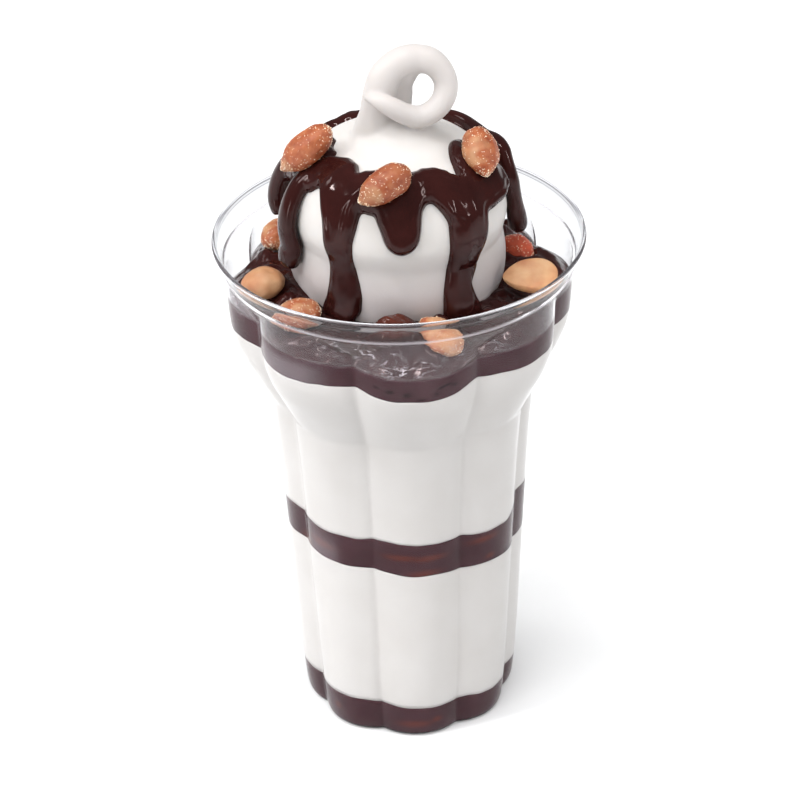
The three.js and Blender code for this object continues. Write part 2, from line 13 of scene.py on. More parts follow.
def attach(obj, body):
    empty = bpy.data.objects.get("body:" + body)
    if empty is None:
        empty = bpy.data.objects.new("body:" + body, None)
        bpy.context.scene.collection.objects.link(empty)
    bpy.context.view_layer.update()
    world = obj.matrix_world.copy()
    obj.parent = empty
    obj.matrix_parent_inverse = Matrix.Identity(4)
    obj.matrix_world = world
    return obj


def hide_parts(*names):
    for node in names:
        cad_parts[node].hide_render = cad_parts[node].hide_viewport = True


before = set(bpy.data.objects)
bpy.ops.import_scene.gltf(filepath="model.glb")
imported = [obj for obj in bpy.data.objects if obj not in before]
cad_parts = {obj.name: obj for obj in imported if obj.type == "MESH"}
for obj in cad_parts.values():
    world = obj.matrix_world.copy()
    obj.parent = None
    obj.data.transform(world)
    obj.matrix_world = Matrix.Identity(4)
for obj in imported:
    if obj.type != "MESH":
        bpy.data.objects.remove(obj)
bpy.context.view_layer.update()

MM = 0.001

# The photograph's view
CAMERA_ELEVATION = 31.33
CAMERA_ROLL = -1.539
CAMERA_DISTANCE = 882
CAMERA_TARGET = (-0.86, 0, 91.72)
CAMERA_LENS = 147.34
CAMERA_SENSOR = 36

# The cup: height, radius on the crest of a lobe, and radius in the groove beside it
RIM_RADIUS = 49
CUP_HEIGHT = 142.3
WALL = 0.5
LOBES = 8
FIRST_GROOVE = 27.7
GROOVE_FILLET = 0.35
CUP_LEVELS = [
    (0, 27.0, 24.8), (0.8, 28.4, 26.1), (3, 29.1, 26.7), (50, 32.1, 29.8), (97, 35.4, 33.0),
    (100, 36.8, 34.2), (106, 39.8, 36.8), (112, 42.9, 39.4), (118, 44.9, 41.0), (124, 45.5, 41.5),
    (128, 45.7, 41.7), (136, 46.1, 42.0),
]
SPANDREL_FOOT = (128, 41.7)
CONE_FILLET = 0.12
RING = (136, 46.2)
RING_RIDGE = 0.2
BAND_TOP = (140.4, 47.6)
BEAD_RADIUS = 0.62
BEAD_HEIGHT = 142.6
FOOT_RECESS = (0.5, 20)
FLOOR_HEIGHT = 1.3
INTO_WALL = 0.15

# The layers at the wall: height on the axis, and rise per millimetre of X and of Y
BASE_FUDGE_TOP = (9.4, -0.044, -0.037)
MIDDLE_FUDGE_BOTTOM = (54.4, -0.07, -0.054)
MIDDLE_FUDGE_TOP = (64.2, -0.043, -0.063)
MIDDLE_RISE = {"angle": 88, "width": 24, "height": 4.2}
TOP_FUDGE_BOTTOM = 120.2
FRONT_LOBE_DIP = {"angle": 5, "width": 17, "depth": 2.6}

# The pool of fudge: its height at the wall and beside the dome, by angle
POOL_AT_WALL = [
    (-180, 127), (-120, 127.4), (-85, 128.6), (-40, 127.4), (5, 124.6), (45, 127.2), (90, 128.4),
    (130, 127.2),
]
POOL_AT_DOME = [
    (-180, 132.6), (-115, 134.6), (-75, 134.2), (-35, 131.6), (5, 131.6), (48, 131.6), (67, 130.9),
    (90, 133.6), (140, 132.4),
]
POOL_INNER_RADIUS = 26
POOL_UNDER_DOME = 129.6

# Mounds in the pool: angle, distance from the axis, height, length round the cup, width, and turn
POOL_MOUNDS = [
    (-3, 33.8, 6.8, 6.0, 4.8, 0),  # a peanut under the fudge
    (-97, 35.5, 1.8, 9, 2.6, 20),
    (-84, 41.5, 1.2, 8, 2.2, -8),
    (96, 40.5, 1.8, 7, 2.4, 12),
    (84, 31.5, 1.0, 5, 2.0, 0),
    (47, 33.5, 0.8, 5, 1.8, -25),
    (26, 41, 0.7, 6, 2.2, 0),
    (-58, 32, 0.9, 5, 2.0, 30),
    (160, 36, 0.9, 8, 2.2, 10),
    (-125, 38, 1.0, 8, 2.4, -20),
]

# The dome, from the middle of its top down to its foot: radius and height
DOME_PROFILE = [
    (6, 172.6), (10.5, 171.8), (15.5, 170.3), (20, 167.9), (23.9, 164.4), (26.6, 160.1), (28.2, 155.4),
    (28.6, 151), (28, 148.2), (27.5, 145.6), (27.9, 142.8), (28.4, 139), (28.3, 134.4), (27.4, 129),
]
DOME_CENTRE_X = -0.3
# Painted shade on the soft serve: darker and pinkish from a height down, fully so a reach lower, where the
# pool shades the dome's foot, and on the tail's top up to a share
SHADE_TOP = 152
SHADE_REACH = 14
TAIL_SHADE = 0.42

# The tail, from the dome up, over and round to its tip, and the neck behind it: x, y, z and radius
TAIL = [
    (-3.6, 0.2, 167.5, 10.4), (-4.2, 0.0, 173.5, 7.0), (-4.4, -1.4, 177.9, 5.2), (-4.4, -2.2, 182.0, 4.4),
    (-3.8, -2.4, 185.7, 4.2), (-2.8, -2.0, 188.7, 4.1), (-0.6, -1.3, 191.1, 4.0), (2.5, -0.5, 192.6, 3.9),
    (5.5, 0.2, 192.7, 3.8), (8.8, 0.0, 192.2, 3.6), (11.5, -0.4, 189.9, 3.3), (13.0, -1.2, 186.3, 3.15),
    (12.3, -2.8, 182.9, 3.1), (9.6, -4.6, 180.3, 3.0), (5.9, -6.2, 179.5, 2.95), (2.1, -7.6, 181.2, 2.8),
    (-1.4, -8.4, 183.7, 2.6), (-4.6, -8.0, 185.2, 1.9), (-6.9, -6.2, 185.2, 0.9), (-8.0, -4.6, 184.7, 0.3),
]
# The swelling that the tail's lower limb lies on: its middle, then radius and height from its skirt up
SWELLING_MIDDLE = (1.0, -0.8)
SWELLING = [
    (19, 167), (16.5, 169.3), (14, 170.9), (12, 172), (10.2, 173.2), (8.6, 174.8), (7, 176.3), (5, 177.3),
    (2.5, 177.9),
]
NECK = [
    (-3.2, 0.4, 168, 9.6), (-2.4, 0.8, 174, 6.6), (-0.9, 1.5, 179.8, 5.2), (-0.3, 2.0, 182.6, 4.9),
    (0.6, 2.0, 186.0, 4.3), (2.7, 1.5, 189.3, 3.8), (5.0, 1.0, 191.7, 3.2),
]

# The sauce: its upper edge as a distance from the axis and its lower edge as a height, by angle
SAUCE_UPPER_EDGE = [
    (-180, 22.2), (-165, 22.3), (-152, 22.0), (-144, 22.9), (-128, 25.2), (-116, 25.2), (-109, 18.6),
    (-100, 16.4), (-89, 15.2), (-76, 16.5), (-65, 18.5), (-56, 16.9), (-46, 15.9), (-37, 16.6),
    (-29, 18.9), (-22, 17.9), (-10, 17.2), (4, 18.6), (10, 19), (14, 17.8), (20, 17.1), (27, 17.5),
    (35, 18.7), (40, 20.2), (44, 21.4),
    (48, 19.4), (53, 18), (60, 17.2), (73, 17.4), (95, 19.8), (110, 21.6), (125, 22.4), (150, 22.2),
]
SAUCE_LOWER_EDGE = [
    (-180, 161), (-150, 162.6), (-125, 160), (-97, 158), (-80, 159.6), (-68, 159.6),
    (-61, 162), (-54, 164), (-36, 158), (-17.5, 163.3),
    (0, 158), (19.5, 163.7), (34, 156), (52, 157.4), (64, 157.6), (70, 158.2), (76, 161.5), (84, 164),
    (105, 163), (125, 159), (140, 162.6), (158, 160),
]

# The runs of sauce: height, then the angles of the left and right edges there, down to the foot
RUNS = [
    [(164, -49, -20), (161.3, -46.6, -21.5), (158.2, -43, -22.4), (153.3, -40.2, -24.1),
     (149.3, -38.5, -24.1), (145.5, -38.2, -22.8), (142, -37.8, -20.7), (138.7, -39, -19.6),
     (135.3, -41.5, -20.1), (131, -44, -25)],
    [(164, -14, 15), (160.4, -11.8, 13.2), (158.3, -9.6, 12.4), (156, -7.7, 11.3), (151.8, -5.5, 9)],
    [(164, 27, 57), (160, 28, 53.4), (157.6, 27.6, 51), (154.4, 27.4, 49.2), (151.3, 27.2, 47.4),
     (147.8, 27, 45.6), (144.5, 26, 45.2), (142, 24.8, 42.2), (140, 23.9, 40.1), (137, 23.4, 41.9),
     (134, 23.4, 44.8), (130.5, 24, 48)],
    [(164, 112, 132), (158, 116, 130), (152, 117.5, 129.5), (147, 118, 130)],
    [(164, 146, 168), (158, 149, 165), (150, 150, 163), (142, 149.5, 163), (135, 147, 164),
     (130.5, 144, 166)],
    [(164, 172, 196), (160, 174, 192), (155, 175.5, 190), (151, 176, 190)],
    [(164, 210, 230), (158, 213, 227), (150, 213, 226), (143, 212, 227), (138, 212, 228)],
]
RUN_CORNER = 4.5
SAUCE_FILLET = 1.4
SAUCE_EDGE = 2.3
SAUCE_THICKNESS = 2.3
# The coat's mesh: how deep its inner sheet lies in the dome, the distance from the axis where it starts,
# the height where it ends, its columns and its step
COAT_DEPTH = 1.4
COAT_START = 14.2
COAT_END = 130.2
COAT_COLUMNS = 600
COAT_STEP = 0.33
# How uneven the sauce is, the folds along its flow, and the ridges along its edges
UNEVEN = 0.32
FOLDS = 0.13
EDGE_RIDGE = 0.2
RIDGE_SPACING = 1.9

# Where the sauce is thicker: angle, height, reach and extra thickness
SAUCE_SWELLS = [
    (-31, 134, 5, 1.0), (-32, 140, 4, 0.3), (2, 155, 4, 0.9), (36, 133, 6, 0.9), (40, 158, 7, 0.8),
    (66, 161.5, 7, 1.7), (77, 160.5, 4, 0.8), (-40, 166, 6, 0.8), (5, 165, 6, 0.5), (24, 168, 5, 0.5),
    (157, 134, 5, 0.8), (220, 141, 4, 0.9), (182, 154, 4, 0.8), (124, 150, 4, 0.8),
    (-150, 165, 6, 1.0), (137, 165, 6, 1.0),
]

# Strands that stand off the dome: angle, height, distance off the dome, half width and half thickness
STRANDS = [
    [(-65, 167, 0.6, 2.4, 1.8), (-68, 162.5, 1.4, 2.9, 2.3), (-67.6, 157, 2.0, 3.2, 2.3),
     (-67, 151, 2.3, 3.6, 2.4), (-67, 146, 2.5, 4.1, 2.7), (-67.4, 142.6, 2.6, 4.1, 2.7),
     (-68, 140.2, 2.6, 3.4, 2.5)],
    [(-88, 169, 0.6, 2.6, 1.8), (-94, 164, 1.7, 3.0, 2.5), (-97, 158, 2.5, 3.1, 2.7),
     (-97, 153, 2.8, 3.1, 2.8), (-95, 150.6, 2.5, 2.9, 2.6), (-94, 148.9, 2.2, 2.2, 2.2)],
]

# The strand from the back of the sauce round the right side: x, y, z, half width and half thickness
RIDGE = [
    (9.7, 21.5, 166.0, 0.9, 1.2), (13.7, 19.5, 167.1, 1.4, 1.5), (16.1, 18, 167.1, 1.6, 1.6),
    (18.5, 15.5, 166.9, 1.7, 1.7), (20.7, 12, 166.7, 1.8, 1.8), (23.0, 8, 166.3, 2.2, 2.1),
    (25.6, 4.5, 166.2, 2.6, 2.4), (27.1, 2, 165.2, 2.7, 2.4), (27.8, 0.5, 163.1, 2.4, 2.3),
    (28.6, -0.5, 160.7, 2.2, 2.2), (29.4, -1, 157.7, 2.3, 2.2), (29.9, -1, 154.5, 2.2, 2.1),
    (30.3, -0.5, 150.7, 2.4, 2.3), (30.8, 0, 147.2, 2.9, 2.6), (31.1, 0.5, 144.5, 2.9, 2.6),
    (30.9, 1, 142.2, 2.4, 2.2),
]

# How each peanut looks: its skin, how much of it has rubbed off, and where along and across it
NUT_LOOKS = {
    "peanut_dome_left": ("skin", 0.12, (0.6, 0.5)),
    "peanut_dome_front": ("skin", 0.36, (0.85, 0.1)),
    "peanut_dome_right": ("skin", 0.3, (0.1, -1.0)),
    "peanut_pool_left": ("bare", 0, (0, 0)),
    "peanut_pool_near_right": ("half", 0, (0, 0)),
    "peanut_pool_right": ("red", 0.05, (0.8, 0.4)),
    "peanut_pool_front": ("skin", 0.75, (-0.6, -0.3)),
    "peanut_pool_far_left": ("skin", 0.4, (0, 0.6)),
}
# Painted shade: how much darker each kernel is made, set nut by nut to tone down those the lamps leave too
# bright, most on the one on the dome's front, which faces up
NUT_SHADE = {
    "peanut_dome_left": 0.14, "peanut_dome_front": 0.38, "peanut_dome_right": 0.18,
    "peanut_pool_left": 0.28, "peanut_pool_near_right": 0.08, "peanut_pool_right": 0,
    "peanut_pool_front": 0, "peanut_pool_front_left": 0.36,
}
PLAIN_NUT_SHADE = 0.12
GRAINS_ON_A_NUT = 420
GRAIN_SIZE = 0.068
# A kernel's length, width and thickness, as shares of its solid's, and how far its tip stands out
PEELED_FIT = np.array([0.9, 0.97, 0.97])
POINTED_FIT = np.array([0.97, 1.0, 1.0])
KERNEL_TIP = 0.35
# How far the fudge reaches round a peanut on the dome, as a share of its size
NUT_BEDS = {"peanut_dome_left": 0.5}
PLAIN_BED = 1.02
# How far a kernel is moved from its solid's place
NUT_SHIFTS = {
    "peanut_pool_right": (-1.2, -0.6, -0.8),
    "peanut_pool_left": (0.2, 0, -0.9),
    "peanut_pool_front_left": (-0.9, 0, -0.2),
}


def scene_noise(seed, count, shortest, longest):
    """A smooth, seeded value of about -1 to 1 at any point: waves in many directions."""
    draw = np.random.default_rng(seed)
    directions = draw.normal(size=(count, 3))
    directions /= np.linalg.norm(directions, axis=1)[:, None]
    lengths = np.exp(draw.uniform(math.log(shortest), math.log(longest), count))
    turns = draw.uniform(0, 2 * math.pi, count)

    def value(points):
        phase = points @ (directions / lengths[:, None] * 2 * math.pi).T + turns
        return np.sin(phase).sum(axis=-1) / math.sqrt(count)

    return value


def smooth_min(a, b, reach):
    blend = np.maximum(reach - np.abs(a - b), 0) / reach
    return np.minimum(a, b) - blend * blend * reach / 4


def smooth_max(a, b, reach):
    return -smooth_min(-a, -b, reach)


def hill(distance, reach=1.0, power=2):
    """1 where the distance is 0, falling smoothly to 0 past the reach."""
    return np.exp(-np.abs(distance / reach) ** power)


def rising(value, start, reach):
    """From 0 at the start to 1 a reach later."""
    return np.clip((value - start) / reach, 0, 1)


def hermite(part, start, end, start_slope, end_slope):
    """A cubic between two values that leaves and arrives at the given slopes."""
    rest = 1 - part
    leaving = (1 + 2 * part) * rest ** 2 * start + part * rest ** 2 * start_slope
    arriving = part * part * (3 - 2 * part) * end + part * part * (part - 1) * end_slope
    return leaving + arriving


def smooth_curve(xs, ys, x):
    """A curve through the points that doesn't overshoot them (monotone cubic)."""
    xs = np.asarray(xs, float)
    ys = np.asarray(ys, float)
    steps = np.diff(xs)
    slopes = np.diff(ys) / steps
    tangents = np.empty_like(ys)
    tangents[0], tangents[-1] = slopes[0], slopes[-1]
    before, after = slopes[:-1], slopes[1:]
    same = before * after > 0
    total = np.where(same, before + after, 1)
    tangents[1:-1] = np.where(same, 2 * before * after / total, 0)
    x = np.clip(x, xs[0], xs[-1])
    index = np.clip(np.searchsorted(xs, x, side="right") - 1, 0, len(steps) - 1)
    step = steps[index]
    part = (x - xs[index]) / step
    return hermite(part, ys[index], ys[index + 1], step * tangents[index], step * tangents[index + 1])


def round_value(table, angle):
    """A smooth value round the circle through (angle, value) pairs in rising order."""
    angles = np.array([a for a, _ in table] + [table[0][0] + 360], float)
    values = np.array([v for _, v in table] + [table[0][1]], float)
    wrapped = np.mod(angle - angles[0], 360) + angles[0]
    index = np.clip(np.searchsorted(angles, wrapped, side="right") - 1, 0, len(table) - 1)
    part = (wrapped - angles[index]) / (angles[index + 1] - angles[index])
    part = part * part * (3 - 2 * part)
    return values[index] * (1 - part) + values[index + 1] * part


def away(angle, other):
    """How far one angle lies from another, from -180 to 180."""
    return np.mod(angle - other + 180, 360) - 180


def polar(angle, radius, height, centre_x=0.0):
    turn = np.radians(angle)
    parts = np.broadcast_arrays(centre_x + radius * np.sin(turn), -radius * np.cos(turn), height)
    return np.stack(parts, axis=-1).astype(float)


def around_axis(points):
    """Each point's angle, distance from the axis and height."""
    x, y, height = points.T
    return np.degrees(np.arctan2(x, -y)), np.hypot(x, y), height


# The cup's form

def lobed_radius(angle, crest, groove):
    """One lobe is an arc of a circle through its two grooves and its crest; a fillet joins two arcs."""
    half = math.radians(180 / LOBES)
    turn = np.radians(np.mod(angle - FIRST_GROOVE, 360 / LOBES)) - half
    rise = crest - groove * math.cos(half)
    chord = groove * math.sin(half)
    arc = (chord * chord + rise * rise) / (2 * rise)
    centre = crest - arc

    def reach(at):
        return centre * np.cos(at) + np.sqrt(np.maximum(arc * arc - (centre * np.sin(at)) ** 2, 0))

    return smooth_max(reach(turn), reach(np.abs(turn) - 2 * half), GROOVE_FILLET)


def lobe_and_cone(angle, height):
    """The radius of the lobed wall, and of the cone that takes its place in the spandrels."""
    levels, crests, grooves = np.array(CUP_LEVELS, float).T
    lobed = lobed_radius(angle, smooth_curve(levels, crests, height), smooth_curve(levels, grooves, height))
    foot_height, foot_radius = SPANDREL_FOOT
    share = rising(height, foot_height, RING[0] - foot_height)
    return lobed, foot_radius + (RING[1] - foot_radius) * share


def cup_radius(angle, height):
    lobed, cone = lobe_and_cone(angle, height)
    return np.where(height > SPANDREL_FOOT[0], smooth_max(lobed, cone, CONE_FILLET), lobed)


def fill_radius(angle, height):
    return cup_radius(angle, height) - WALL + INTO_WALL


CUP_COLUMNS = 40 * LOBES
cup_angles = FIRST_GROOVE + np.arange(CUP_COLUMNS) * 360 / CUP_COLUMNS


def circle(radius, height):
    return polar(cup_angles, np.full(CUP_COLUMNS, float(radius)), height)


def wall_circle(height, inset=0.0):
    heights = np.broadcast_to(np.asarray(height, float), cup_angles.shape)
    return polar(cup_angles, cup_radius(cup_angles, heights) - inset, heights)


# Meshes

def grid_faces(rows, columns):
    """Faces between closed rings of points."""
    row, column = np.meshgrid(np.arange(rows - 1), np.arange(columns), indexing="ij")
    following = (column + 1) % columns
    corners = [row * columns + column, row * columns + following,
               (row + 1) * columns + following, (row + 1) * columns + column]
    return np.stack([corner.ravel() for corner in corners], axis=1).tolist()


def skin(rings, start, end):
    """A closed body through rings of points, each end shut by a fan round a middle point."""
    count = len(rings[0])
    last = count * (len(rings) - 1)
    middle = last + count
    faces = grid_faces(len(rings), count)
    faces += [[middle, (i + 1) % count, i] for i in range(count)]
    faces += [[middle + 1, last + i, last + (i + 1) % count] for i in range(count)]
    return np.concatenate([*rings, [start], [end]]), faces


def joined(bodies):
    """The points and faces of several bodies as those of one."""
    faces = []
    offset = 0
    for points, own_faces in bodies:
        faces += [[index + offset for index in face] for face in own_faces]
        offset += len(points)
    return np.concatenate([points for points, _ in bodies]), faces


def new_mesh(name, points, faces):
    mesh = bpy.data.meshes.new(name)
    mesh.from_pydata((np.asarray(points) * MM).tolist(), [], faces)
    mesh.validate()
    mesh.polygons.foreach_set("use_smooth", [True] * len(mesh.polygons))
    return mesh


def new_piece(name, points, faces, material, slot, *nodes):
    piece = bpy.data.objects.new(name, new_mesh(name, points, faces))
    bpy.context.scene.collection.objects.link(piece)
    return dress(piece, material, slot, *nodes)


def dress(piece, material, slot, *nodes):
    piece.data.materials.clear()
    piece.data.materials.append(material)
    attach(piece, "root")
    if nodes:
        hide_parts(*nodes)
    return piece


def set_values(mesh, name, values):
    """A number for each point of a mesh, for its material to read."""
    attribute = mesh.attributes.new(name, "FLOAT", "POINT")
    attribute.data.foreach_set("value", np.asarray(values, np.float32))


def merged_bodies(name, bodies, voxel, smoothing):
    """Closed bodies joined into one skin, which is then smoothed."""
    piece = bpy.data.objects.new(name, new_mesh(name, *joined(bodies)))
    bpy.context.scene.collection.objects.link(piece)
    remesh = piece.modifiers.new("join", "REMESH")
    remesh.mode = "VOXEL"
    remesh.voxel_size = voxel * MM
    remesh.use_smooth_shade = True
    smooth = piece.modifiers.new("soften", "SMOOTH")
    smooth.factor = 0.5
    smooth.iterations = smoothing
    evaluated = piece.evaluated_get(bpy.context.evaluated_depsgraph_get())
    mesh = bpy.data.meshes.new_from_object(evaluated)
    piece.modifiers.clear()
    old = piece.data
    piece.data = mesh
    bpy.data.meshes.remove(old)
    mesh.name = name
    mesh.polygons.foreach_set("use_smooth", [True] * len(mesh.polygons))
    return piece


def mesh_points(mesh):
    points = np.empty(len(mesh.vertices) * 3)
    mesh.vertices.foreach_get("co", points)
    return points.reshape(-1, 3) / MM


# Materials

class Surface:
    """A material, its Principled shader and the nodes that feed it."""

    def __init__(self, name):
        self.material = bpy.data.materials.new(name)
        self.material.use_nodes = True
        self.nodes = self.material.node_tree.nodes
        self.shader = self.nodes["Principled BSDF"]

    def feed(self, node, inputs):
        """Set a node's inputs: each is another node's output or a plain value."""
        for place, value in inputs.items():
            if isinstance(value, bpy.types.NodeSocket):
                self.material.node_tree.links.new(value, node.inputs[place])
            else:
                node.inputs[place].default_value = value
        return node

    def node(self, kind, inputs=None, **settings):
        node = self.nodes.new("ShaderNode" + kind)
        for name, value in settings.items():
            setattr(node, name, value)
        return self.feed(node, inputs or {})

    def noise(self, scale, detail=3.0, roughness=0.5, stretch=(1, 1, 1)):
        """Noise in the object's own space; scale is in waves for each metre."""
        place = self.node("TexCoord").outputs["Object"]
        vector = self.node("Mapping", {"Vector": place, "Scale": stretch}).outputs["Vector"]
        inputs = {"Vector": vector, "Scale": scale, "Detail": detail, "Roughness": roughness}
        return self.node("TexNoise", inputs).outputs["Fac"]

    def ramp(self, value, stops):
        """A colour for a value, from (place, colour) stops."""
        node = self.node("ValToRGB", {"Fac": value})
        elements = node.color_ramp.elements
        while len(elements) < len(stops):
            elements.new(0.5)
        for element, (place, colour) in zip(elements, stops):
            element.position = place
            element.color = (*colour, 1)
        return node.outputs["Color"]

    def spread(self, value, low, high, from_low=0.3, from_high=0.7):
        """A value brought from one range to another."""
        ranges = {"From Min": from_low, "From Max": from_high, "To Min": low, "To Max": high}
        return self.node("MapRange", {"Value": value, **ranges}).outputs["Result"]

    def mix(self, factor, first, second):
        """Two colours mixed by a factor."""
        inputs = {"Factor": factor}
        for place, colour in ((6, first), (7, second)):
            inputs[place] = (*colour, 1) if isinstance(colour, tuple) else colour
        return self.node("Mix", inputs, data_type="RGBA").outputs[2]

    def mix_shaders(self, factor, first, second):
        return self.node("MixShader", {"Fac": factor, 1: first.outputs[0], 2: second.outputs[0]})

    def calculate(self, operation, first, second=0.0):
        clamped = operation == "ADD"
        return self.node("Math", {0: first, 1: second}, operation=operation, use_clamp=clamped).outputs[0]

    def bump(self, height, strength, distance):
        node = self.node("Bump", {"Strength": strength, "Distance": distance * MM, "Height": height})
        self.feed(self.shader, {"Normal": node.outputs["Normal"]})

    def point_value(self, name):
        return self.node("Attribute", attribute_name=name).outputs["Fac"]


def make_clear_plastic():
    surface = Surface("clear_plastic")
    surface.feed(surface.shader, {
        # The wall's tint, turning dark along the bead's painted dark lines
        "Base Color": surface.mix(surface.point_value("edge"), (0.83, 0.838, 0.853), (0.1, 0.1, 0.12)),
        "Transmission Weight": 1,
        "IOR": 1.24,
        "Specular Tint": (0.5, 0.5, 0.5, 1),
        "Roughness": surface.spread(surface.noise(90), 0.0, 0.04),
    })
    surface.bump(surface.noise(60, 2), 0.15, 0.4)
    # A pale shader for the milky film on the wall and for its painted reflection, highlights and sheens
    milky_and_painted_light = surface.node("BsdfPrincipled", {"Base Color": (0.86, 0.80, 0.86, 1), "Roughness": 0.3})
    # Painted highlights: thin bright lines from a noise where the wall is crinkled
    creases = surface.noise(330, 2, 0.5, (0.6, 0.6, 1.7))
    off_crease = surface.calculate("ABSOLUTE", surface.calculate("SUBTRACT", creases, 0.5))
    lines = surface.spread(off_crease, 0.55, 0, 0.003, 0.02)
    sparse = surface.spread(surface.noise(420, 1), 0, 1, 0.44, 0.56)
    thin_highlight_lines = surface.calculate("MULTIPLY", lines, sparse)
    crinkle_highlights = surface.calculate("MULTIPLY", thin_highlight_lines, surface.point_value("crinkle_highlights"))
    haze_and_painted_light = surface.calculate("ADD", crinkle_highlights, surface.point_value("haze_and_painted_light"))
    wall = surface.mix_shaders(haze_and_painted_light, surface.shader, milky_and_painted_light)
    clear = surface.node("BsdfTransparent", {"Color": (0.97, 0.97, 0.97, 1)})
    in_shadow = surface.node("LightPath").outputs["Is Shadow Ray"]
    mixed = surface.mix_shaders(in_shadow, wall, clear)
    surface.feed(surface.nodes["Material Output"], {"Surface": mixed.outputs[0]})
    return surface.material


def make_soft_serve(name, softness, share):
    """Soft serve at a share of its full brightness: more in the layers, which the cup's wall darkens."""

    def shade(*colour):
        return tuple(share * part for part in colour)

    surface = Surface(name)
    stops = [(0.3, shade(0.70, 0.67, 0.643)), (0.7, shade(0.735, 0.708, 0.685))]
    colour = surface.ramp(surface.noise(70, 3), stops)
    surface.feed(surface.shader, {
        # Painted shade: the cream turns darker and pinkish where the shade value is high
        "Base Color": surface.mix(surface.point_value("painted_shade"), colour, shade(0.52, 0.472, 0.465)),
        "Roughness": surface.spread(surface.noise(220, 2), 0.38, 0.56),
        "Specular IOR Level": 0.35,
        "Subsurface Weight": softness,
        "Subsurface Radius": (1.0, 0.85, 0.7),
        "Subsurface Scale": 2.0 * MM,
    })
    surface.bump(surface.noise(900, 4, 0.6), 0.12, 0.3)
    return surface.material


def make_fudge(name, streaks, shine, dark, light):
    surface = Surface(name)
    colour = surface.ramp(surface.noise(120, 4), [(0.3, dark), (0.7, light)])
    colour = surface.mix(surface.point_value("bubble"), colour, (0.008, 0.003, 0.003))
    surface.feed(surface.shader, {
        "Base Color": surface.mix(surface.point_value("thin"), colour, (0.17, 0.045, 0.028)),
        "Roughness": surface.spread(surface.noise(160, 3), 0.06, 0.16),
        "Specular IOR Level": shine,
        "Specular Tint": (1, 0.82, 0.8, 1),
    })
    surface.bump(surface.noise(260, 3, 0.5, streaks), 0.25, 0.5)
    return surface.material


def make_peanut():
    surface = Surface("roasted_peanut")
    blotches = surface.noise(330, 4, 0.65)
    skin_colour = surface.ramp(blotches, [
        (0.28, (0.21, 0.042, 0.015)), (0.45, (0.35, 0.088, 0.031)), (0.6, (0.45, 0.135, 0.05)),
        (0.75, (0.53, 0.2, 0.085)),
    ])
    red_colour = surface.ramp(blotches, [(0.3, (0.24, 0.024, 0.010)), (0.7, (0.46, 0.062, 0.022))])
    flesh = surface.ramp(surface.noise(150, 3), [
        (0.3, (0.47, 0.2, 0.09)), (0.5, (0.58, 0.31, 0.15)), (0.72, (0.66, 0.42, 0.23)),
    ])
    colour = surface.mix(surface.point_value("red"), skin_colour, red_colour)
    colour = surface.mix(surface.point_value("bare"), colour, flesh)
    surface.feed(surface.shader, {
        # Painted shade: the kernel turns towards dark brown by its shade value
        "Base Color": surface.mix(surface.point_value("nut_shade"), colour, (0.12, 0.02, 0.005)),
        "Roughness": surface.spread(surface.noise(500, 3), 0.34, 0.6),
        "Subsurface Weight": 0.15,
        "Subsurface Radius": (1.0, 0.5, 0.3),
        "Subsurface Scale": 0.8 * MM,
    })
    surface.bump(surface.noise(1400, 5, 0.7), 0.4, 0.25)
    return surface.material


def make_salt():
    surface = Surface("salt")
    grain = surface.noise(900, 2)
    surface.feed(surface.shader, {
        "Base Color": surface.ramp(grain, [(0.3, (0.90, 0.66, 0.43)), (0.7, (1.0, 0.88, 0.72))]),
        "Roughness": 0.15,
        "Specular IOR Level": 0.8,
    })
    surface.bump(grain, 0.1, 0.05)
    return surface.material


PLASTIC = make_clear_plastic()
CREAM = make_soft_serve("soft_serve", 0.35, 0.915)
CREAM_LAYER = make_soft_serve("soft_serve_layer", 0.0, 0.985)
FUDGE = make_fudge("hot_fudge", (1, 1, 0.35), 0.26, (0.019, 0.004, 0.0035), (0.031, 0.007, 0.006))
# The fudge in the layers is lighter and more violet than the pool's: its own colour with a painted veil of
# the cup wall's reflection
FUDGE_LAYER = make_fudge("hot_fudge_layer", (1, 1, 1), 0.05, (0.053, 0.021, 0.026), (0.079, 0.036, 0.043))
PEANUT = make_peanut()
SALT = make_salt()


# The cup and what fills it

# Heights where the wall's mesh has a ring of points, below its flare
CUP_ROWS = [0, 0.3, 0.8, 1.5, 3, 6, 12, 25, 40, 52, 56, 58, 60, 62, 64, 68, 76, 85, 94, 96]
FLARE = (97, 128.01, 0.7)
SPANDRELS = (128.4, RING[0] - 0.4, 0.5)
# Round the bead's section: where it starts and ends, and its painted dark lines, which stand for its
# refraction, in degrees from outwards
BEAD_TURN = (-75, 165)
PAINTED_BEAD_LINES = (-62, 60, 122, 163)


def band_radius(height):
    """The radius of the plain band between the ring and the bead."""
    return RING[1] + (BAND_TOP[1] - RING[1]) * (height - RING[0]) / (BAND_TOP[0] - RING[0])


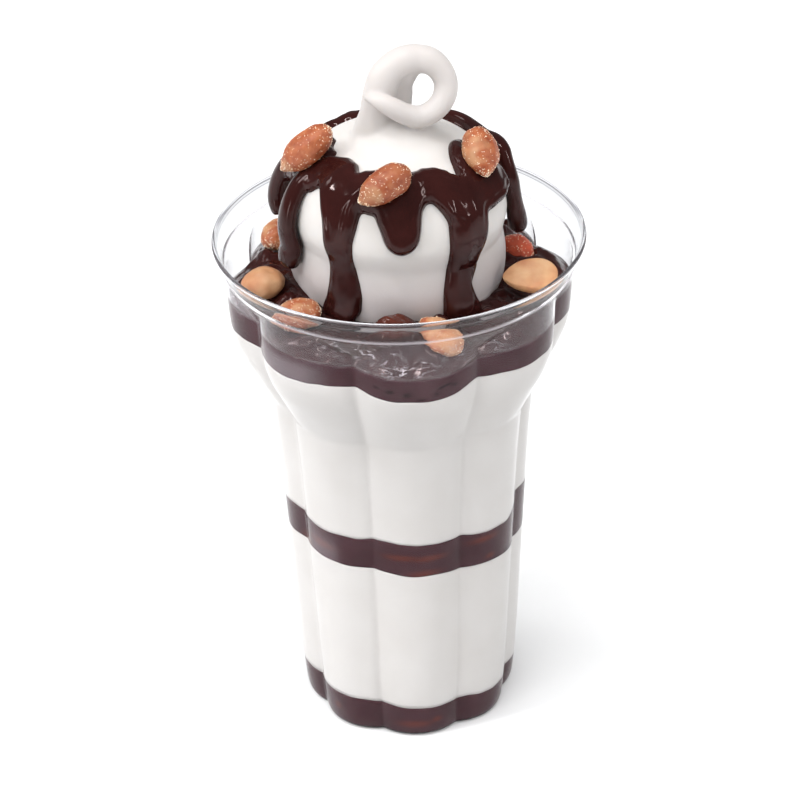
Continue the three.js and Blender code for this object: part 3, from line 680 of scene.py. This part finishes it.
def make_cup():
    heights = [*CUP_ROWS, *np.arange(*FLARE), *np.arange(*SPANDRELS)]
    outside = [wall_circle(height) for height in heights]
    ridge = [(-0.3, 0), (0.2, RING_RIDGE), (0.6, RING_RIDGE), (1.0, 0)]
    band = [circle(band_radius(RING[0] + up) + out, RING[0] + up) for up, out in ridge]
    band += [circle(band_radius(height), height) for height in (137.6, 138.6, 139.6)]
    bead = []
    for turn in np.radians(np.linspace(*BEAD_TURN, 31)):
        radius = RIM_RADIUS - BEAD_RADIUS + BEAD_RADIUS * math.cos(turn)
        bead.append(circle(radius, BEAD_HEIGHT + BEAD_RADIUS * math.sin(turn)))
    band_heights = (142.1, 141.9, 141.7, 139.6, 138, 136.4)
    inside = [circle(band_radius(height) - WALL, height) for height in band_heights]
    inside += [wall_circle(height, WALL) for height in reversed(heights) if height > FLOOR_HEIGHT + 1]
    depth, radius = FOOT_RECESS
    foot = [circle(radius, depth), circle(radius + depth, 0.02)]
    floor = [wall_circle(FLOOR_HEIGHT + 0.4, WALL + 0.6), circle(radius, FLOOR_HEIGHT)]
    rings = [*foot, *outside, *band, *bead, *inside, *floor]
    points, faces = skin(rings, (0, 0, depth), (0, 0, FLOOR_HEIGHT))
    piece = new_piece("clear_cup", points, faces, PLASTIC, "clear_plastic", "cup")
    set_values(piece.data, "haze_and_painted_light", cup_haze_and_painted_light(points))
    set_values(piece.data, "crinkle_highlights", cup_crinkle_highlights(points))
    set_values(piece.data, "edge", painted_bead_lines(points))


def painted_bead_lines(points):
    """Painted shade: thin darker lines that run round the bead, and one under it, where its refraction
    looks dark.
    """
    outward = np.hypot(points[:, 0], points[:, 1]) - (RIM_RADIUS - BEAD_RADIUS)
    upward = points[:, 2] - BEAD_HEIGHT
    turn = np.degrees(np.arctan2(upward, outward))
    on_bead = np.hypot(outward, upward) < BEAD_RADIUS * 1.1
    line = sum(hill(away(turn, at), 9) for at in PAINTED_BEAD_LINES) * on_bead
    under = hill(upward + 0.7, 0.15) * (outward < -BEAD_RADIUS)
    return np.clip(line + under, 0, 1)


# Painted highlights: places on the cup's wall where thin bright lines show its crinkles: angle, height,
# reach round the cup and up it, and strength
CRINKLE_HIGHLIGHTS = [
    (-10, 132, 7, 4, 1.0), (2, 127.5, 8, 3.5, 1.0), (20, 131, 5, 3.5, 0.7), (-22, 133, 4, 4, 0.7),
    (-74, 131, 7, 5, 0.8), (32, 131, 4, 4, 0.6), (60, 133, 4, 5, 0.5), (150, 132, 7, 4, 0.7),
    (-150, 132, 7, 4, 0.7),
]


# Pale sheens on the cup's wall: angle, height, half width in degrees, half height and strength
SHEEN = [
    (-42, 122.8, 14, 3.6, 0.13), (-44, 60, 9, 4.5, 0.09), (-48, 5, 9, 4, 0.03), (5, 121, 20, 3, 0.014),
    (35, 124, 12, 3, 0.014),
]


# How milky the wall is, with painted light: a milky film on the lobes above the fudge that is partly a
# painted reflection, the plain band, and painted highlights along the fudge's edge, the ring and the bead
LOBE_HAZE_AND_REFLECTION = 0.036
BAND_HAZE = 0.006
FILL_LINE_HIGHLIGHT = 0.05
RING_HIGHLIGHT = 0.4
BEAD_HIGHLIGHT = 0.1
MILKY_SIDE = (-74, 15, 0.05)


def cup_haze_and_painted_light(points):
    """How milky the wall is at each point, with its painted reflection, highlights and sheens added in."""
    angle, radius, height = around_axis(points)
    fill = round_value(POOL_AT_WALL, angle)
    lobed, cone = lobe_and_cone(angle, height)
    on_lobe = np.where(height > SPANDREL_FOOT[0], rising(lobed - cone, -0.25, 0.35), 1.0)
    above = rising(height - fill, -0.2, 0.4)
    haze_and_painted_light = np.where(height > RING[0] + 1.1, BAND_HAZE, above * LOBE_HAZE_AND_REFLECTION * on_lobe)
    haze_and_painted_light += FILL_LINE_HIGHLIGHT * hill(height - fill, 0.3) * on_lobe
    side_angle, side_width, side_haze = MILKY_SIDE
    haze_and_painted_light += side_haze * hill(away(angle, side_angle), side_width, 4) * above * (height < RING[0])
    haze_and_painted_light += RING_HIGHLIGHT * hill(height - RING[0] - 0.4, 0.4) * (radius > RING[1] + 0.03)
    haze_and_painted_light += BEAD_HIGHLIGHT * hill(height - BEAD_HEIGHT - 0.4, 0.25) * (height > BAND_TOP[0])
    for at, level, across, up, strength in SHEEN:
        haze_and_painted_light += strength * hill(away(angle, at), across, 4) * hill(height - level, up, 4)
    return haze_and_painted_light


def cup_crinkle_highlights(points):
    """How strongly the painted highlight lines of the crinkled wall show."""
    angle, radius, height = around_axis(points)
    crinkle_highlights = np.zeros(len(points))
    for at, level, across, up, strength in CRINKLE_HIGHLIGHTS:
        far = np.hypot(np.radians(away(angle, at)) * radius / across, (height - level) / up)
        crinkle_highlights = np.maximum(crinkle_highlights, strength * hill(far, power=3))
    return crinkle_highlights * (height < RING[0] - 0.5)


def tilted(plane, ripple_seed, ripple=0.22):
    """A layer's edge at the wall: a tilted level with small ripples."""
    height, slope_x, slope_y = plane
    ripples = scene_noise(ripple_seed, 14, 5, 26)
    levels, crests, _ = np.array(CUP_LEVELS, float).T

    def at(angle):
        place = polar(angle, np.interp(height, levels, crests), 0)
        return height + slope_x * place[..., 0] + slope_y * place[..., 1] + ripple * ripples(place)

    return at


def middle_fudge_top(angle):
    rise = hill(away(angle, MIDDLE_RISE["angle"]), MIDDLE_RISE["width"], 4)
    return tilted(MIDDLE_FUDGE_TOP, 13)(angle) + MIDDLE_RISE["height"] * rise


def top_fudge_bottom(angle):
    dip = hill(away(angle, FRONT_LOBE_DIP["angle"]), FRONT_LOBE_DIP["width"], 4)
    ripples = scene_noise(31, 14, 5, 26)(polar(angle, 44, 0))
    return TOP_FUDGE_BOTTOM - FRONT_LOBE_DIP["depth"] * dip + 0.2 * ripples


def wall_fudge_top(angle):
    return round_value(POOL_AT_WALL, angle) - 0.15


def cup_floor(angle):
    return np.full_like(angle, FLOOR_HEIGHT - 0.1)


def layer_rings(bottom_at, top_at, steps, inset=0.0):
    rings = []
    for part in np.linspace(0, 1, steps):
        heights = bottom_at(cup_angles) * (1 - part) + top_at(cup_angles) * part
        rings.append(polar(cup_angles, fill_radius(cup_angles, heights) - inset, heights))
    return rings


def make_layer(name, node, edges, steps, material, slot, inset=0.0):
    rings = layer_rings(*edges, steps, inset)
    points, faces = skin(rings, (0, 0, rings[0][:, 2].mean()), (0, 0, rings[-1][:, 2].mean()))
    piece = new_piece(name, points, faces, material, slot, node)
    if material == FUDGE_LAYER:
        set_values(piece.data, "thin", patches(points, SHOWING_NUTS, 0.55))
        set_values(piece.data, "bubble", patches(points, BUBBLES, 0.9))


def make_filling():
    base_top = tilted(BASE_FUDGE_TOP, 11)
    middle_bottom = tilted(MIDDLE_FUDGE_BOTTOM, 12)
    fudge = (FUDGE_LAYER, "hot_fudge")
    cream = (CREAM_LAYER, "soft_serve", 0.03)
    make_layer("fudge_at_the_foot", "fudge_base", (cup_floor, base_top), 12, *fudge)
    make_layer("lower_soft_serve", "ice_cream_lower", (base_top, middle_bottom), 40, *cream)
    make_layer("fudge_in_the_middle", "fudge_middle", (middle_bottom, middle_fudge_top), 14, *fudge)
    make_layer("upper_soft_serve", "ice_cream_upper", (middle_fudge_top, top_fudge_bottom), 70, *cream)
    make_layer("fudge_against_the_wall", "fudge_top", (top_fudge_bottom, wall_fudge_top), 30, *fudge)


# Reddish places where a peanut shows through fudge at the wall: angle, height, length and height of each
SHOWING_NUTS = [
    (-46, 61.5, 5.0, 1.2), (8, 56.5, 4.5, 1.1), (-3, 62, 5, 0.9), (10, 61.5, 5, 0.9), (40, 62.5, 4.5, 1.0),
    (44, 56.2, 1.6, 0.8), (-44, 6.2, 1.2, 0.8), (2, 4.6, 4.6, 1.1), (14, 5.5, 1.4, 0.9), (-60, 58, 3, 1.5),
    (130, 60, 5, 1.3), (-140, 59, 4, 1.2), (100, 5, 4, 1.2), (-110, 6, 4, 1.1), (170, 61, 5, 1),
]


# Dark bubbles and cracks in the fudge on the front lobe: angle, height, length and height of each
BUBBLES = [
    (-4.4, 120.9, 0.9, 0.7), (1.2, 120.2, 0.9, 0.7), (11.2, 119.8, 0.6, 0.8), (12.6, 121.5, 0.7, 0.6),
    (14.7, 122.0, 1.2, 0.4), (17.3, 121.4, 0.7, 0.5), (-9, 121.8, 0.8, 0.4), (6, 118.6, 1.2, 0.3),
]


def patches(points, table, strength):
    angle, radius, height = around_axis(points)
    value = np.zeros(len(points))
    for at, level, length, tall in table:
        far = np.hypot(np.radians(away(angle, at)) * radius / length, (height - level) / tall)
        value = np.maximum(value, strength * hill(far, power=3))
    return value


# The pool of fudge round the dome

def nut_frame(name, points):
    """A peanut's middle, axes and size, read from the points of its solid."""
    box_middle = (points.max(axis=0) + points.min(axis=0)) / 2
    from_mean = points - points.mean(axis=0)
    along, across, up = np.linalg.svd(from_mean, full_matrices=False)[2]
    if up @ (box_middle * (1, 1, 0) / 60 + (0, 0, 1)) < 0:
        up = -up
    if (np.abs(from_mean @ across) * (from_mean @ along)).sum() > 0:
        along = -along
    axes = np.stack([along, np.cross(up, along), up])
    local = from_mean @ axes.T
    low, high = local.min(axis=0), local.max(axis=0)
    middle = points.mean(axis=0) + (low + high) / 2 @ axes + NUT_SHIFTS.get(name, (0, 0, 0))
    return {"middle": middle, "axes": axes, "size": high - low, "bed": NUT_BEDS.get(name, PLAIN_BED)}


NUTS = {
    name: nut_frame(name, mesh_points(node.data))
    for name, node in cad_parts.items() if name.startswith("peanut_")
}
NUTS_ON_DOME = [nut for nut in NUTS.values() if nut["middle"][2] > CUP_HEIGHT]
NUTS_IN_POOL = [nut for nut in NUTS.values() if nut["middle"][2] < CUP_HEIGHT]


def along_and_across(nut, points):
    """Points as shares of a peanut's half length and half width, seen from above it."""
    flat = points - nut["middle"]
    return flat @ nut["axes"][0] / (nut["size"][0] / 2), flat @ nut["axes"][1] / (nut["size"][1] / 2)


def pool_points(angle, part):
    """The pool's surface from the wall, part 0, to under the dome, part 1."""
    wall = round_value(POOL_AT_WALL, angle)
    dome = round_value(POOL_AT_DOME, angle)
    outer = fill_radius(angle, wall) - 0.1
    radius = outer + (POOL_INNER_RADIUS - outer) * part
    height = wall + (dome - wall) * part * (2 - part)
    place = polar(angle, radius, height)
    lumps = scene_noise(5, 26, 4.5, 13)(place)
    fine = scene_noise(6, 30, 1.6, 4)(place)
    calm = np.clip(part * 6, 0, 1)
    height = height + calm * (0.55 * lumps + 0.16 * fine)
    for at, distance, tall, length, width, turn in POOL_MOUNDS:
        flat = place - polar(at, distance, 0)
        tilt = math.radians(at + turn)
        along = (flat[..., 0] * math.cos(tilt) + flat[..., 1] * math.sin(tilt)) / length
        over = (flat[..., 1] * math.cos(tilt) - flat[..., 0] * math.sin(tilt)) / width
        height = height + tall * hill(np.hypot(along, over), power=2.6)
    for nut in NUTS_IN_POOL:
        level = place * (1, 1, 0) + nut["middle"] * (0, 0, 1)
        reach = np.hypot(*along_and_across(nut, level))
        height = height + calm * 1.1 * hill(reach - 1.12, 0.3)
    return polar(angle, radius, height)


def make_pool():
    parts = np.concatenate([np.linspace(0, 0.1, 6), np.linspace(0.1, 1, 60)[1:]])
    side = layer_rings(top_fudge_bottom, lambda angle: round_value(POOL_AT_WALL, angle), 12, 0.1)[1:-1]
    top = [pool_points(cup_angles, part) for part in parts]
    inner = circle(POOL_INNER_RADIUS - 2.0, POOL_UNDER_DOME)
    points, faces = skin([*side, *top, inner], (0, 0, TOP_FUDGE_BOTTOM - 0.5), (0, 0, POOL_UNDER_DOME))
    piece = new_piece("pool_of_fudge", points, faces, FUDGE, "hot_fudge", "fudge_top")
    nut_angle, nut_distance = POOL_MOUNDS[0][:2]
    far = np.linalg.norm((points - polar(nut_angle, nut_distance, 0)) * (1, 1, 0), axis=1)
    set_values(piece.data, "thin", 0.35 * hill(far, 4.6, 4) * (points[:, 2] > 133))


# The dome with its tail

def path_lengths(points):
    """How far along a path each of its points lies."""
    return np.concatenate([[0], np.cumsum(np.linalg.norm(np.diff(points, axis=0), axis=1))])


def dome_table():
    """The dome's profile as a fine table: distance down from the top, radius and height."""
    profile = np.array(DOME_PROFILE, float)
    places = path_lengths(profile)
    slopes = np.gradient(profile, places, axis=0)
    fine = np.linspace(0, places[-1], 500)
    index = np.clip(np.searchsorted(places, fine, side="right") - 1, 0, len(places) - 2)
    step = np.diff(places)[index][:, None]
    part = (fine - places[index])[:, None] / step
    leaving, arriving = step * slopes[index], step * slopes[index + 1]
    curve = hermite(part, profile[index], profile[index + 1], leaving, arriving)
    return path_lengths(curve), *curve.T


DOME_LENGTH, DOME_RADIUS, DOME_HEIGHT = dome_table()
DOME_DOWN_R = np.gradient(DOME_RADIUS, DOME_LENGTH)
DOME_DOWN_Z = np.gradient(DOME_HEIGHT, DOME_LENGTH)


def down_to_height(height):
    return np.interp(-np.asarray(height, float), -DOME_HEIGHT, DOME_LENGTH)


def down_to_radius(radius):
    upper = DOME_HEIGHT > 152
    return np.interp(radius, DOME_RADIUS[upper], DOME_LENGTH[upper])


def dome_unevenness(angle, height):
    turn = np.radians(angle)
    upper = 0.35 * np.sin(2 * turn + 0.6) + 0.25 * np.sin(3 * turn + height / 9)
    return np.where(height > 146, upper, 0.6 * upper - 0.25 * np.sin(turn))


def dome_point(angle, down, off=0.0):
    """A point off the dome's surface, at an angle and a distance down from the top."""
    radius = np.interp(down, DOME_LENGTH, DOME_RADIUS)
    height = np.interp(down, DOME_LENGTH, DOME_HEIGHT)
    out = -np.interp(down, DOME_LENGTH, DOME_DOWN_Z)
    up = np.interp(down, DOME_LENGTH, DOME_DOWN_R)
    share = np.minimum(radius / 20, 1)
    radius = radius + share * dome_unevenness(angle, height) + off * out
    return polar(angle, radius, height + off * up, DOME_CENTRE_X)


def curve_points(stations, steps):
    """Even steps along a smooth curve through stations of any number of values."""
    stations = np.asarray(stations, float)
    tangents = np.gradient(stations, axis=0)
    at = np.linspace(0, len(stations) - 1, steps)
    index = np.clip(np.floor(at).astype(int), 0, len(stations) - 2)
    part = (at - index)[:, None]
    return hermite(part, stations[index], stations[index + 1], tangents[index], tangents[index + 1])


def unit(vectors):
    return vectors / np.linalg.norm(vectors, axis=1)[:, None]


def tube(centres, outward, half_across, half_over, sides=24):
    """A closed tube along a path; its thickness lies along the outward directions, its width across."""
    along = unit(np.gradient(centres, axis=0))
    across = unit(np.cross(along, outward))
    over = np.cross(across, along)
    turns = np.linspace(0, 2 * math.pi, sides, endpoint=False)
    rings = []
    for centre, a, o, wide, thick in zip(centres, across, over, half_across, half_over):
        rings.append(centre + np.outer(np.cos(turns) * wide, a) + np.outer(np.sin(turns) * thick, o))
    return skin(rings, centres[0], centres[-1])


def rounded_end(count, share):
    """The width along a path of that many points, which rounds off over the last share of it."""
    past = np.maximum(np.linspace(0, 1, count) - 1 + share, 0) / share
    return np.sqrt(np.maximum(1 - past ** 2, 0.02))


def tail_body(table, steps):
    stations = curve_points(table, steps)
    return tube(stations[:, :3], np.array([0, -1, 0]), stations[:, 3], stations[:, 3], 40)


def swelling_body():
    """A low flaring hill round the foot of the tail."""
    places = np.arange(len(SWELLING))
    fine = np.linspace(0, places[-1], 40)
    angles = np.arange(0, 360, 5)
    radii, heights = (smooth_curve(places, column, fine) for column in zip(*SWELLING))
    x, y = SWELLING_MIDDLE
    rings = [polar(angles, radius, height, x) + (0, y, 0) for radius, height in zip(radii, heights)]
    return skin(rings, (x, y, heights[0]), (x, y, heights[-1] + 0.1))


def make_dome():
    angles = np.arange(0, 360, 1.5)
    rings = [dome_point(angles, down) for down in np.linspace(DOME_LENGTH[-1], 0, 110)]
    foot = (DOME_CENTRE_X, 0, DOME_HEIGHT[-1])
    crown = (DOME_CENTRE_X, 0, DOME_HEIGHT[0] + 0.2)
    bodies = [skin(rings, foot, crown), swelling_body(), tail_body(TAIL, 180), tail_body(NECK, 60)]
    piece = merged_bodies("dome_with_tail", bodies, 0.45, 16)
    dress(piece, CREAM, "soft_serve", "ice_cream_dome")
    # Painted shade on the dome's foot beside the pool, and on the top of the tail
    height = mesh_points(piece.data)[:, 2]
    shaded_foot = rising(-height, -SHADE_TOP, SHADE_REACH)
    set_values(piece.data, "painted_shade", np.maximum(shaded_foot, TAIL_SHADE * rising(height, 174, 8)))


# The sauce on the dome

def run_depth(run, angle, down):
    """How far inside a run of sauce a point lies, in millimetres, and below 0 outside it."""
    heights = np.array([row[0] for row in run], float)
    places = down_to_height(heights)
    middle = (run[0][1] + run[0][2]) / 2
    left = smooth_curve(places, [row[1] for row in run], down)
    right = smooth_curve(places, [row[2] for row in run], down)
    at = away(angle, middle) + middle
    radius = np.interp(down, DOME_LENGTH, DOME_RADIUS)
    sides = np.minimum(at - left, right - at) * radius * math.pi / 180
    foot = places[-1] - down
    if run[-1][0] < 132:
        return np.where(foot > -1, sides, -3.0)
    return np.where(down > places[0] - 1, smooth_min(sides, foot, RUN_CORNER), np.minimum(sides, 3.0))


def sauce_depth(angle, down):
    upper = down - down_to_radius(round_value(SAUCE_UPPER_EDGE, angle))
    lower = down_to_height(round_value(SAUCE_LOWER_EDGE, angle)) - down
    depth = smooth_min(upper, lower, 1.5)
    for run in RUNS:
        started = np.where(down > down_to_height(run[0][0]), 0, 50)
        depth = smooth_max(depth, run_depth(run, angle, down) - started, SAUCE_FILLET)
    for nut in NUTS_ON_DOME:
        reach = nut_reach(nut, dome_point(angle, down))
        depth = smooth_max(depth, (nut["bed"] - reach) * 4, 1)
    return depth


def nut_reach(nut, points):
    """A point's distance from a peanut's long axis line, as a share of its size seen from above it."""
    far = np.abs((points - nut["middle"]) @ nut["axes"][2]) > 12
    return np.where(far, 9.0, np.hypot(*along_and_across(nut, points)))


def sauce_thickness(angle, down, depth):
    places = dome_point(angle, down)
    height = places[..., 2]
    thick = SAUCE_THICKNESS + UNEVEN * scene_noise(21, 20, 6, 16)(places)
    turn = np.radians(angle)
    flow = np.stack([28 * np.sin(turn), -28 * np.cos(turn), 0.22 * down * np.ones_like(turn)], axis=-1)
    thick = thick + FOLDS * scene_noise(22, 24, 2.6, 6)(flow)
    for at, swell_height, reach, extra in SAUCE_SWELLS:
        centre = dome_point(np.array(float(at)), down_to_height(swell_height))
        thick = thick + extra * hill(np.linalg.norm(places - centre, axis=-1), reach)
    for nut in NUTS_ON_DOME:
        thick = thick + 0.5 * hill(nut_reach(nut, places) - 0.9, 0.35)
    ridges = np.cos(depth * 2 * math.pi / RIDGE_SPACING) * hill(depth - 2.6, 1.6)
    arches = rising(height, 154, 4) * rising(-height, -171, 4)
    thick = thick + EDGE_RIDGE * ridges * arches
    inside = np.clip(depth / SAUCE_EDGE, 0, 1)
    dome_side = np.sqrt(1 - (1 - inside) ** 2)
    return np.where(depth > 0, thick * dome_side, np.maximum(depth * 1.5, -0.9))


def make_sauce_coat():
    """The sauce on the dome as two sheets of points, joined round its edges."""
    columns = COAT_COLUMNS
    angles = np.arange(columns) * 360 / columns - 180
    downs = np.arange(down_to_radius(COAT_START), down_to_height(COAT_END), COAT_STEP)
    angle, down = np.meshgrid(angles, downs)
    depth = sauce_depth(angle, down)
    outer = dome_point(angle, down, sauce_thickness(angle, down, depth)).reshape(-1, 3)
    inner = dome_point(angle, down, -COAT_DEPTH).reshape(-1, 3)
    kept = depth > -0.9
    quad = kept[:-1] & kept[1:]
    quad = quad & np.roll(quad, -1, axis=1)
    none = np.zeros_like(quad[:1])
    row, column = np.nonzero(quad)
    a = row * columns + column
    b = row * columns + (column + 1) % columns
    c = b + columns
    d = a + columns
    total = len(outer)
    faces = [np.stack([a, d, c, b], axis=1), np.stack([a, b, c, d], axis=1) + total]
    for neighbour, first, second in (
        (np.vstack([none, quad[:-1]]), a, b),
        (np.vstack([quad[1:], none]), c, d),
        (np.roll(quad, 1, axis=1), d, a),
        (np.roll(quad, -1, axis=1), b, c),
    ):
        side = np.stack([first, second, second + total, first + total], axis=1)
        faces.append(side[~neighbour[row, column]])
    used, faces = np.unique(np.concatenate(faces), return_inverse=True)
    return np.concatenate([outer, inner])[used], faces.reshape(-1, 4).tolist()


def strand_body(stations):
    rows = curve_points(stations, 60)
    angle, height, off, wide, thick = rows.T
    down = down_to_height(height)
    centres = dome_point(angle, down, off)
    end = rounded_end(len(rows), 0.12)
    return tube(centres, dome_point(angle, down, off + 1) - centres, wide * end, thick * end)


def ridge_body():
    rows = curve_points(RIDGE, 130)
    centres = rows[:, :3]
    end = rounded_end(len(rows), 0.06)
    return tube(centres, centres - np.array([0, 0, 152]), rows[:, 3] * end, rows[:, 4] * end)


def make_sauce():
    bodies = [make_sauce_coat(), ridge_body()] + [strand_body(stations) for stations in STRANDS]
    dress(merged_bodies("running_fudge", bodies, 0.42, 5), FUDGE, "hot_fudge", "fudge_drape")


# The peanuts

def kernel(size, seed, kind):
    """A kernel along X with one tapering end, a seam and small wrinkles; a half is one split lobe."""
    length, width, thickness = size / 2
    rows, columns = 64, 56
    turn = np.linspace(0, math.pi, rows)
    x = -np.cos(turn)
    around = np.linspace(0, 2 * math.pi, columns, endpoint=False)
    outline = {"half": (1 - np.abs(x) ** 2.6) ** 0.55, "bare": np.sin(turn) ** 0.94}
    full = outline.get(kind, np.sin(turn) ** 1.16)
    fat = full * (1 - 0.13 * x) * (1 + 0.05 * np.cos(3 * x + seed))
    side = np.outer(fat, np.cos(around))
    lift = np.outer(fat, np.sin(around))
    if kind == "half":
        split = 0.5 + 0.06 * np.cos(side * 2.2) - 0.05 * hill(side, 0.1) + 0.05 * x[:, None]
        lift = np.where(lift > 0, np.minimum(lift, split * fat[:, None]), lift)
    else:
        seam = 1 - 0.035 * np.outer(np.sin(turn), hill(np.abs(around - math.pi) - math.pi / 2, 0.16))
        side, lift = side * seam, lift * seam
    lengthwise = np.outer(x * length + KERNEL_TIP * hill(x - 1, 0.07), np.ones(columns))
    points = np.stack([lengthwise, side * width, lift * thickness], axis=-1)
    flat_points = points[1:-1].reshape(-1, 3)
    normals = unit(flat_points / (size / 2) ** 2)
    wrinkles = scene_noise(seed, 24, 2.2, 6)(flat_points * (0.45, 1, 1))
    fine = scene_noise(seed + 50, 40, 0.9, 2)(flat_points * (0.3, 1, 1))
    relief = 0.12 * wrinkles + (0.0 if kind == "half" else 0.05) * fine
    rings = (flat_points + normals * relief[:, None]).reshape(rows - 2, columns, 3)
    return skin(rings, (-length, 0, 0), (length + KERNEL_TIP, 0, 0))


def place_nut(nut, points):
    return nut["middle"] + points @ nut["axes"]


def make_nuts():
    grains = []
    for index, (name, nut) in enumerate(sorted(NUTS.items())):
        spot = (0.4 * math.sin(index), 0.5 * math.cos(2 * index))
        kind, rubbed, spot = NUT_LOOKS.get(name, ("skin", 0.3, spot))
        peeled = kind in ("bare", "half")
        points, faces = kernel(nut["size"] * (PEELED_FIT if peeled else POINTED_FIT), index + 1, kind)
        piece = new_piece(name + "_kernel", place_nut(nut, points), faces, PEANUT, "roasted_peanut", name)
        share = points / (nut["size"] / 2)
        patch = scene_noise(index + 90, 16, 2.5, 7)(points)
        near = np.hypot(share[:, 0] - spot[0], share[:, 1] - spot[1])
        bare = np.clip((rubbed * 2.2 - near + 0.35 * patch) * 1.2, 0, 0.7)
        set_values(piece.data, "bare", np.clip(0.9 + 0.1 * patch, 0, 1) if peeled else bare)
        set_values(piece.data, "red", np.full(len(points), 0.9 if kind == "red" else 0.0))
        set_values(piece.data, "nut_shade", np.full(len(points), NUT_SHADE.get(name, PLAIN_NUT_SHADE)))
        if not peeled:
            grains.append(salt_on(nut, points, index))
    salt = new_piece("salt_grains", *joined(grains), SALT, "roasted_peanut")
    salt.data.polygons.foreach_set("use_smooth", [False] * len(salt.data.polygons))


def salt_on(nut, points, seed):
    """Small blocks of salt scattered over a kernel's surface."""
    draw = np.random.default_rng(seed + 400)
    chosen = points[draw.integers(0, len(points), GRAINS_ON_A_NUT)]
    corners = np.array([(x, y, z) for x in (-1, 1) for y in (-1, 1) for z in (-1, 1)], float)
    block = [[0, 1, 3, 2], [4, 6, 7, 5], [0, 4, 5, 1], [2, 3, 7, 6], [0, 2, 6, 4], [1, 5, 7, 3]]
    sizes = np.exp(draw.normal(math.log(GRAIN_SIZE), 0.3, GRAINS_ON_A_NUT))
    all_points = []
    faces = []
    for number, (centre, size) in enumerate(zip(chosen, sizes)):
        spin, _ = np.linalg.qr(draw.normal(size=(3, 3)))
        all_points.append(centre * 1.005 + (corners * size * draw.uniform(0.7, 1.2, 3)) @ spin)
        faces += [[number * 8 + i for i in face] for face in block]
    return place_nut(nut, np.concatenate(all_points)), faces


# The stage

FLOOR_REACH = 6000
# Softboxes: where they stand, their width and height, and their power
SOFTBOXES = {
    "strip_from_the_left": ((-700, -350, 900), (34, 460), 3.6),
    "strip_from_above": ((-150, -250, 1250), (460, 30), 3.3),
    "strip_from_the_right": ((800, -400, 600), (30, 420), 1.6),
    "low_strip_from_the_left": ((-800, -700, 260), (30, 300), 1.0),
    "wide_box_from_the_left": ((-900, 200, 850), (320, 320), 1.7),
}
# Soft light from far away: the way it shines, how widely it is spread, and its strength
FAR_LIGHTS = {
    "soft_light_from_above_left": ((0.2, 0.18, -1), 84, 2.34),
    "fill_from_the_right": ((-0.8, 0.2, -0.7), 90, 0.62),
}
WORLD_STRENGTH = 0.26


def make_stage():
    floor = bpy.data.meshes.new("floor")
    reach = FLOOR_REACH * MM
    corners = [(-reach, -reach, 0), (reach, -reach, 0), (reach, reach, 0), (-reach, reach, 0)]
    floor.from_pydata(corners, [], [(0, 1, 2, 3)])
    piece = bpy.data.objects.new("floor", floor)
    bpy.context.scene.collection.objects.link(piece)
    surface = Surface("pale_floor")
    stops = [(0.3, (0.92, 0.925, 0.93)), (0.7, (0.94, 0.945, 0.95))]
    surface.feed(surface.shader, {
        "Base Color": surface.ramp(surface.noise(3, 2), stops),
        "Roughness": 0.9,
        "Specular IOR Level": 0.1,
    })
    floor.materials.append(surface.material)


def add_light(name, kind, power, direction):
    light = bpy.data.lights.new(name, kind)
    light.energy = power
    piece = bpy.data.objects.new(name, light)
    bpy.context.scene.collection.objects.link(piece)
    piece.rotation_euler = direction.to_track_quat("-Z", "Y").to_euler()
    return piece


def make_lights():
    world = bpy.data.worlds.new("studio")
    bpy.context.scene.world = world
    world.use_nodes = True
    background = world.node_tree.nodes["Background"]
    background.inputs["Color"].default_value = (1, 1, 1, 1)
    background.inputs["Strength"].default_value = WORLD_STRENGTH
    for name, (direction, spread_degrees, power) in FAR_LIGHTS.items():
        piece = add_light(name, "SUN", power, Vector(direction))
        piece.data.angle = math.radians(spread_degrees)
        piece.visible_glossy = False
    for name, (place, size, power) in SOFTBOXES.items():
        piece = add_light(name, "AREA", power, Vector(CAMERA_TARGET) - Vector(place))
        piece.location = Vector(place) * MM
        piece.data.shape = "RECTANGLE"
        piece.data.size, piece.data.size_y = size[0] * MM, size[1] * MM


def make_camera():
    elevation = math.radians(CAMERA_ELEVATION)
    roll = math.radians(CAMERA_ROLL)
    level_up = Vector((0, math.sin(elevation), math.cos(elevation)))
    level_right = Vector((1, 0, 0))
    right = math.cos(roll) * level_right + math.sin(roll) * level_up
    up = -math.sin(roll) * level_right + math.cos(roll) * level_up
    back = right.cross(up)
    data = bpy.data.cameras.new("camera")
    data.lens = CAMERA_LENS
    data.sensor_width = CAMERA_SENSOR
    data.clip_start = 0.01
    data.clip_end = 20
    camera = bpy.data.objects.new("camera", data)
    bpy.context.scene.collection.objects.link(camera)
    turn = Matrix((right, up, back)).transposed().to_4x4()
    camera.matrix_world = Matrix.Translation((Vector(CAMERA_TARGET) + back * CAMERA_DISTANCE) * MM) @ turn
    bpy.context.scene.camera = camera


make_camera()
make_stage()
make_lights()
make_cup()
make_filling()
make_pool()
make_dome()
make_sauce()
make_nuts()
bpy.context.scene.view_settings.view_transform = "Standard"
bpy.context.scene.view_settings.look = "None"
